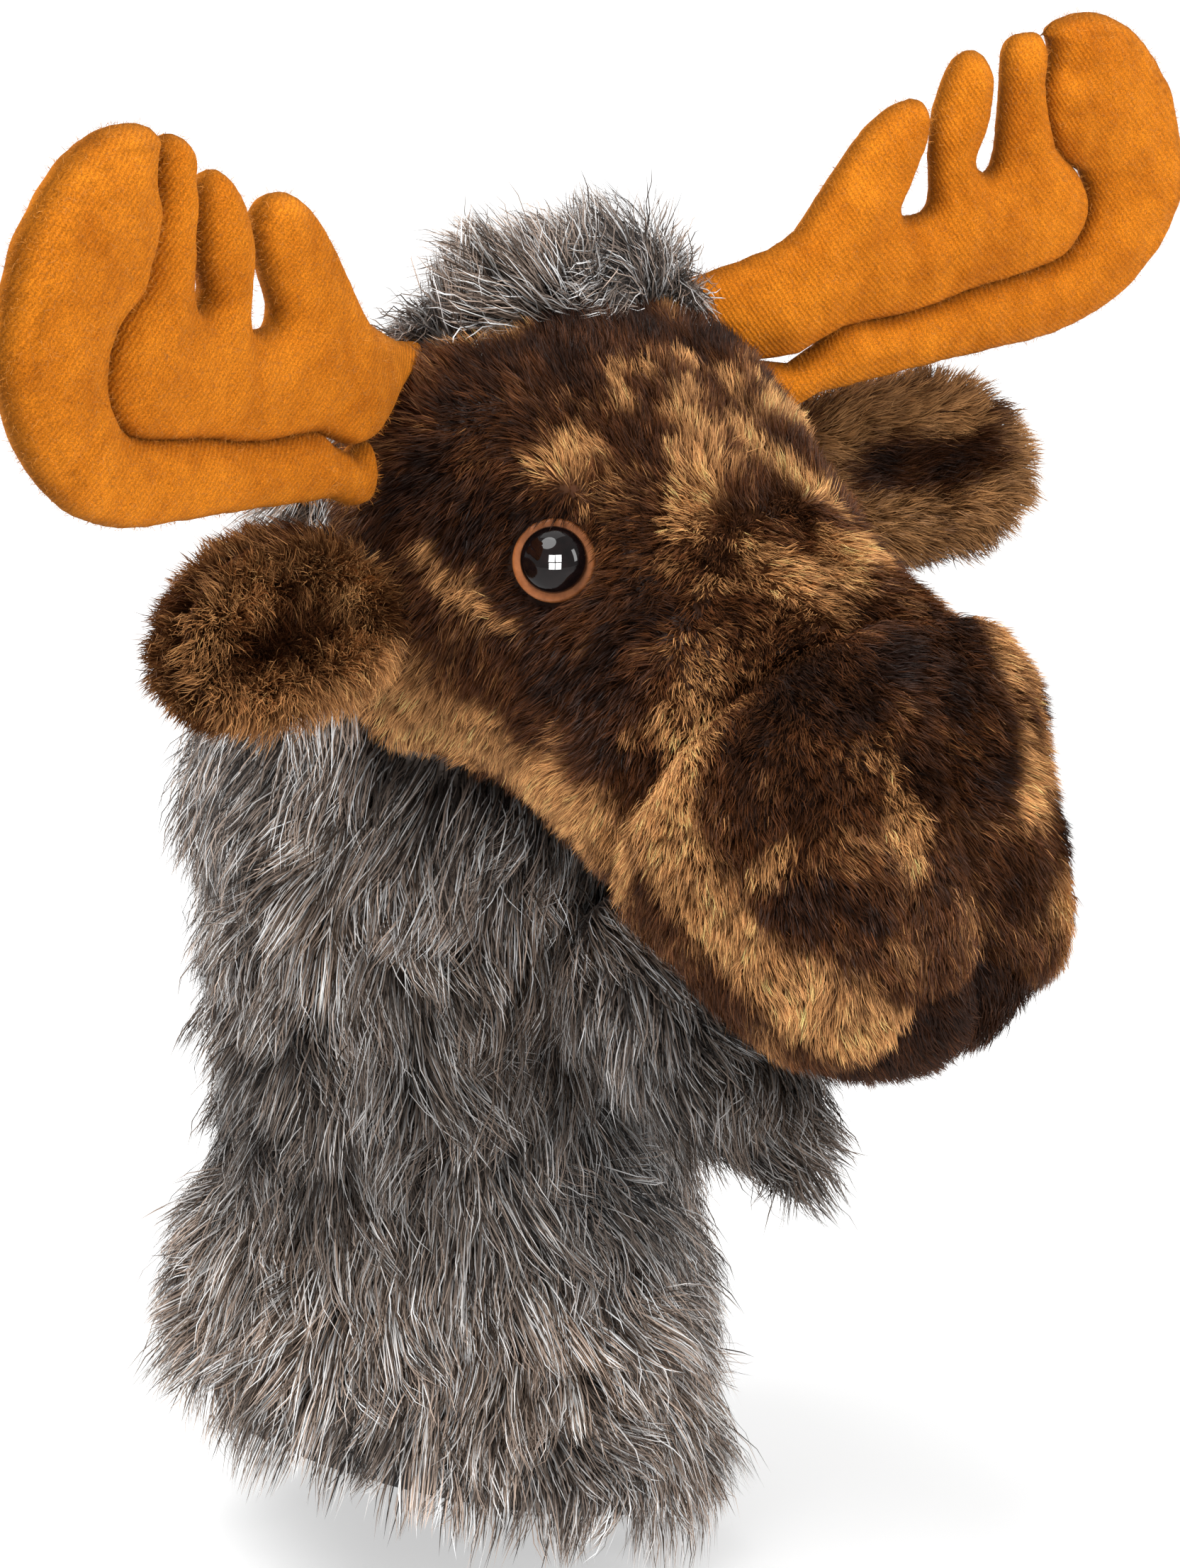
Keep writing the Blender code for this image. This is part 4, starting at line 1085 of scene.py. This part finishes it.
def make_antler(sign, tag):
    at, axes = antler_frame(sign)
    rng = np.random.default_rng(600 + sign)
    body = "antler_" + tag
    palm, hook = antler_outlines(sign)
    for part, edge, thick in (("palm", palm, PALM_HALF_THICK), ("hook", hook, HOOK_HALF_THICK)):
        points, faces, away = slab(edge, FELT_SPACING, thick * FELT_SHARE)
        points = stuffed(points, faces, away, SWELL_PRESSURE, SWELL_MOST)
        pucker = np.exp(-((away / 2.2) ** 2)) * (0.5 + 0.35 * np.sin(points[:, 0] * 1.5 + points[:, 1] * 1.3))
        wrinkle = 0.35 * ripple(points, 11.0, 601) + 0.22 * ripple(points, 5.5, 602)
        side = np.sign(points[:, 2])
        points[:, 2] += side * (wrinkle * smoothstep(0, 4, away) - pucker * smoothstep(0, 0.6, away))
        points = footed(points, sign)
        felt = f"antler_{part}_felt_{tag}"
        ob = piece(felt + "_skin", points @ axes + at, faces, LOOKS["felt"], body, (felt,))
        plane = ob.data.attributes.new("plane", "FLOAT_VECTOR", "POINT")
        plane.data.foreach_set("vector", points.astype(np.float32).ravel())
        seam = ob.data.attributes.new("seam", "FLOAT", "POINT")
        # Painted shade along the seam edge; on the hook, also a dashed line of stitches.
        drawn = np.exp(-((away / 1.6) ** 2))
        if part == "hook":
            drawn += 0.4 * hook_stitches(points, away)
        seam.data.foreach_set("value", drawn.astype(np.float32))
        mod = ob.modifiers.new("soft", "SUBSURF")
        mod.levels = mod.render_levels = 1
        nap(felt + "_nap", body, points, faces, axes, at, rng)
        inner, inner_faces, _ = slab(edge, FILL_SPACING, thick * FELT_SHARE)
        inner = footed(edge_pull(inner, edge), sign)
        fill = f"antler_{part}_fill_{tag}"
        piece(fill + "_wad", inner @ axes + at, inner_faces, LOOKS["fibre"], body, (fill,))


def depth_inside(points, outline):
    return edge_distance(points, outline) * np.where(inside_outline(points, outline), 1, -1)


def edge_pull(points, outline, clear=2.6, flatter=0.72 * 0.9):
    """The points moved in from the outline and flattened, so that the stuffing stays inside its felt."""
    flat = points[:, :2]
    for _ in range(2):
        across, along = (
            depth_inside(flat + step, outline) - depth_inside(flat - step, outline)
            for step in (np.array([0.5, 0.0]), np.array([0.0, 0.5]))
        )
        way = unit(np.column_stack([across, along]))
        flat = flat + np.clip(clear - depth_inside(flat, outline), 0, None)[:, None] * way
    return np.column_stack([flat, points[:, 2] * flatter])


NAP_FIBRES = 9000


def nap(name, body, points, faces, axes, at, rng):
    """The short loose fibres that stand off brushed felt."""
    pick, weights, facing = scatter(points, faces, NAP_FIBRES, rng)
    root, normal = (points[faces[pick]] * weights).sum(1) @ axes + at, facing[pick] @ axes
    middle = (points @ axes + at).mean(0)
    flips = np.sign((normal * axes[2]).sum(1) * ((root - middle) @ axes[2]))
    normal = normal * np.where(flips == 0, 1, flips)[:, None]
    comb = flat_to(normal, rng.standard_normal(root.shape))

    def tones(roots, rng, lead):
        tip = np.array(FELT_NAP) * rng.uniform(0.6, 1.25, (len(roots), 1))
        return tip * 0.6, tip.clip(0, 1)

    grow(name, body, LOOKS["brown"], root, normal, comb, rng, tones, length=1.6, width=0.10, levels=2,
         lean=(0.3, 0.8), lock=0, frizz=0.2, uneven=0.35, wander=0.4)


# ---------------------------------------------------------------- eyes and linings


def revolve(profile, steps):
    """A turned form from radii and heights that starts and ends on the axis: points and faces."""
    angle = np.linspace(0, 2 * math.pi, steps, endpoint=False)
    first, last = profile[0], profile[-1]
    rows = [[(r * math.cos(a), r * math.sin(a), z) for a in angle] for r, z in profile[1:-1]]
    points = np.array([(0, 0, first[1])] + [p for row in rows for p in row] + [(0, 0, last[1])])
    faces = [[0, 1 + k, 1 + (k + 1) % steps] for k in range(steps)]
    for i in range(len(rows) - 1):
        for k in range(steps):
            a, b = 1 + i * steps + k, 1 + i * steps + (k + 1) % steps
            faces.append([a, a + steps, b + steps, b])
    base = 1 + (len(rows) - 1) * steps
    faces += [[base + (k + 1) % steps, base + k, len(points) - 1] for k in range(steps)]
    return points, faces


def make_eye(sign, tag):
    at = Vector(EYE_AT)
    facing = Vector(EYE_FACING).normalized()
    at.x *= sign
    facing.x *= sign
    turn = np.array(facing.to_track_quat("Z", "Y").to_matrix())

    def put(name, profile, look, node):
        points, faces = revolve(profile, 64)
        piece(name, points @ turn.T + np.array(at), faces, look, "head", (node,))

    dome = [(0.0, EYE_DOME_HIGH)]
    for a in np.radians(np.arange(86, 1, -5.0)):
        dome.append((EYE_DOME_R * math.cos(a), EYE_DOME_HIGH * math.sin(a)))
    dome += [(EYE_DOME_R, 0.0), (0.0, 0.0)]
    put("eye_dome_" + tag + "_gloss", dome, LOOKS["eye"], "eye_dome_" + tag)
    low = -0.3 - EYE_RIM_THICK
    rim = [(0.0, low), (EYE_RIM_R - 0.8, low), (EYE_RIM_R - 0.2, low + 0.25), (EYE_RIM_R, low + 0.8)]
    rim += [(EYE_RIM_R, -1.5)]
    for a in np.radians(np.arange(0, 91, 15.0)):
        rim.append((EYE_RIM_R - 0.9 + 0.9 * math.cos(a), -1.5 + 0.9 * math.sin(a) + 0.3))
    rim += [(EYE_DOME_R + 0.1, -0.3), (0.0, -0.3)]
    put("eye_rim_" + tag + "_ring", rim, LOOKS["iris"], "eye_rim_" + tag)
    for node in ("eye_shank_", "eye_washer_"):
        finish_node(node + tag, LOOKS["plastic"])


def finish_node(node, look):
    mesh = frame["nodes"][node].data
    mesh.materials.clear()
    mesh.materials.append(look)


def tube(name, profile_out, profile_in, look, node, steps=144, ribs=None):
    """A sewn band: outer and inner rings joined at both ends."""
    angle = np.linspace(0, 2 * math.pi, steps, endpoint=False)

    def rings(profile):
        return np.array([[(r * math.sin(a), r * math.cos(a), z) for a in angle] for z, r in profile])

    outer, inner = rings(profile_out), rings(profile_in)
    if ribs:
        count, depth = ribs
        wave = 1 + depth * np.cos(count * angle)[None, :, None] / 60.0 * (1, 1, 0)
        outer = outer * wave
    grid = hem_shear(np.concatenate([outer, inner[::-1]]))
    rows, steps = grid.shape[:2]
    points = grid.reshape(-1, 3)
    faces = [list(f) for f in grid_faces(rows, steps)]
    last = (rows - 1) * steps
    faces += [[last + j, last + (j + 1) % steps, (j + 1) % steps, j] for j in range(steps)]
    return piece(name, points, faces, look, "head", (node,))


def band(name, node, slot, low, high, inner, outer, every, ribs):
    """A flat tape sewn into a ring of these radii."""
    rows = np.linspace(low, high, max(1, int((high - low) // every)) + 1)
    tube(name, [(z, outer) for z in rows], [(z, inner) for z in rows], LOOKS[slot], node, ribs=ribs)


def make_linings():
    rounded = blend_rings(LINER, 4)
    rounded = rounded[rounded[:, 1] > 0.4]
    outer = [(z + (LINER_WALL if z > 0 else 0), r + LINER_WALL) for z, r in rounded]
    outer.append((SEAT_Z + LINER_WALL, 0.3))
    inner = [(z, r) for z, r in rounded] + [(SEAT_Z, 0.3)]
    tube("inner_liner_knit", outer, inner, LOOKS["knit"], "inner_liner", ribs=(36, 0.25))
    low, high = ELASTIC_Z - ELASTIC_WIDTH / 2, ELASTIC_Z + ELASTIC_WIDTH / 2
    band("elastic_band_weave", "elastic_band", "elastic", low, high, ELASTIC_IN, ELASTIC_IN + ELASTIC_WALL,
         1.5, (72, 0.3))
    band("hem_binding_tape", "hem_binding", "binding", HEM_Z, HEM_Z + BINDING_HEIGHT, BINDING_IN, BINDING_OUT,
         1.2, (144, 0.2))


def make_wad(node, grid):
    """Loose filling: rings closed by drawing both ends in to their middles."""
    first, last = (end.mean(1, keepdims=True).repeat(grid.shape[1], 1) for end in (grid[:1], grid[-1:]))
    points, faces, _ = loft_faces(np.concatenate([first, grid, last]))
    ob = piece(node + "_wad", points, faces, LOOKS["fibre"], "head", (node,))


def make_fills():
    full, normals, station = head_form(4, 22, 8.0)
    full = full - normals * (0.8 + 0.6 * ripple(full, 14.0, 701))[..., None]
    make_wad("head_fill", full[station <= SEAM_STATION])
    make_wad("muzzle_fill", full[station >= SEAM_STATION])
    make_wad("nape_fill", neck_form(SEAT_Z + 3, NAPE_TOP - 2, NECK_PILE + 6, steps=60, every=6.0))


# ---------------------------------------------------------------- stage, light and camera


CAMERA_AZIMUTH, CAMERA_ELEVATION = math.radians(-46.5), math.radians(16.05)
CAMERA_DISTANCE, CAMERA_LENS = 1.1974, 99.3
CAMERA_AIM = Vector((0, 0.013, -0.040))
CAMERA_SIDE, CAMERA_RISE = 0.04966, 0.00281  # how far the camera is moved across its own line of sight


def make_camera():
    """From the moose's right front, a little above."""
    azimuth, level = CAMERA_AZIMUTH, math.cos(CAMERA_ELEVATION)
    back = Vector((math.sin(azimuth) * level, -math.cos(azimuth) * level, math.sin(CAMERA_ELEVATION)))
    right = Vector((math.cos(azimuth), math.sin(azimuth), 0))
    up = back.cross(right)
    at = right * CAMERA_SIDE + up * CAMERA_RISE + back * CAMERA_DISTANCE + CAMERA_AIM
    data = bpy.data.cameras.new("camera")
    data.sensor_fit, data.sensor_width, data.lens = "AUTO", 36, CAMERA_LENS
    camera = bpy.data.objects.new("camera", data)
    camera.matrix_world = Matrix((right, up, back)).transposed().to_4x4()
    camera.matrix_world.translation = at
    bpy.context.scene.collection.objects.link(camera)
    bpy.context.scene.camera = camera
    return right, up, back


def softbox(name, at, size, power, target=(0.0, -0.06, 0.0)):
    data = bpy.data.lights.new(name, "AREA")
    data.shape, data.size, data.size_y, data.energy = "RECTANGLE", size[0], size[1], power
    lamp = bpy.data.objects.new(name, data)
    lamp.location = at
    lamp.rotation_mode = "QUATERNION"
    lamp.rotation_quaternion = (Vector(target) - Vector(at)).to_track_quat("-Z", "Y")
    bpy.context.scene.collection.objects.link(lamp)
    return lamp


AMBIENT, SUN_POWER, SUN_SPREAD = 0.66, 3.0, math.radians(36)
WINDOW_PANE, WINDOW_POWER, WINDOW_AWAY = (0.31, 0.36), 20.0, 1.25
FLOOR_REACH, FLOOR_GAP, FLOOR_GLOW = 6.0, 0.006, 0.52


def make_world():
    """Even light all round, a little dimmer than the white that shows behind the floor."""
    world_light = bpy.data.worlds.new("studio")
    world_light.use_nodes = True
    nodes, links = world_light.node_tree.nodes, world_light.node_tree.links
    nodes["Background"].inputs["Color"].default_value = (1, 1, 1, 1)
    seen = nodes.new("ShaderNodeLightPath").outputs["Is Camera Ray"]
    links.new(mapped(nodes, links, seen, 0, 1, AMBIENT, 1.0), nodes["Background"].inputs["Strength"])
    bpy.context.scene.world = world_light


def make_windows(right, up, back):
    """Four panes that only the eyes' domes mirror."""
    eyes = bpy.data.collections.new("window_light")
    for ob in bpy.context.scene.objects:
        if ob.name.startswith("eye_dome"):
            eyes.objects.link(ob)
    for column in (-1, 1):
        for row in (-1, 1):
            pane = right * (-0.02 + 0.17 * column) + up * (-0.05 + 0.20 * row) + back * WINDOW_AWAY
            lamp = softbox(f"window_{column}_{row}", pane, WINDOW_PANE, WINDOW_POWER)
            lamp.light_linking.receiver_collection = eyes


def make_stage(right, up, back):
    scene = bpy.context.scene
    scene.view_settings.view_transform = "Standard"
    make_world()
    sun = bpy.data.lights.new("key", "SUN")
    sun.energy, sun.angle = SUN_POWER, SUN_SPREAD
    lamp = bpy.data.objects.new("key", sun)
    way = right * -0.45 + up * 1.1 + back * 0.9
    lamp.rotation_euler = way.to_track_quat("Z", "Y").to_euler()
    scene.collection.objects.link(lamp)
    make_windows(right, up, back)
    softbox("fill", right * 0.95 + up * 0.30 + back * 0.7, (0.25, 0.6), 6.0)
    softbox("top", Vector((0, 0.1, 1.1)), (0.8, 0.8), 3.0)
    mesh = bpy.data.meshes.new("floor")
    low = cad_low.z - FLOOR_GAP
    corners = [(x * FLOOR_REACH, y * FLOOR_REACH, low) for x, y in ((-1, -1), (1, -1), (1, 1), (-1, 1))]
    mesh.from_pydata(corners, [], [(0, 1, 2, 3)])
    greys = (0.50, 0.50, 0.50), (0.53, 0.53, 0.53)
    paper = plain_look("floor_paper", *greys, 3.0, (0.85, 0.95), 0.02, shine=0.0)
    shader = paper.node_tree.nodes["Principled BSDF"]
    shader.inputs["Emission Color"].default_value = (1, 1, 1, 1)
    shader.inputs["Emission Strength"].default_value = FLOOR_GLOW
    mesh.materials.append(paper)
    floor = bpy.data.objects.new("floor", mesh)
    scene.collection.objects.link(floor)


def main():
    sight = make_camera()
    head_tree = bvh(head_form(4, 22, 2.0)[0])
    neck_tree = bvh(neck_form(HEM_Z, CROWN_TOP, 4.0, steps=60, every=6.0))
    make_head(neck_tree)
    make_neck(head_tree)
    make_crown(head_tree)
    make_bell(head_tree, neck_tree)
    make_fills()
    make_linings()
    for sign, tag in ((1, "left"), (-1, "right")):
        make_eye(sign, tag)
        make_antler(sign, tag)
        make_ear(sign, tag)
    make_stage(*sight)


main()
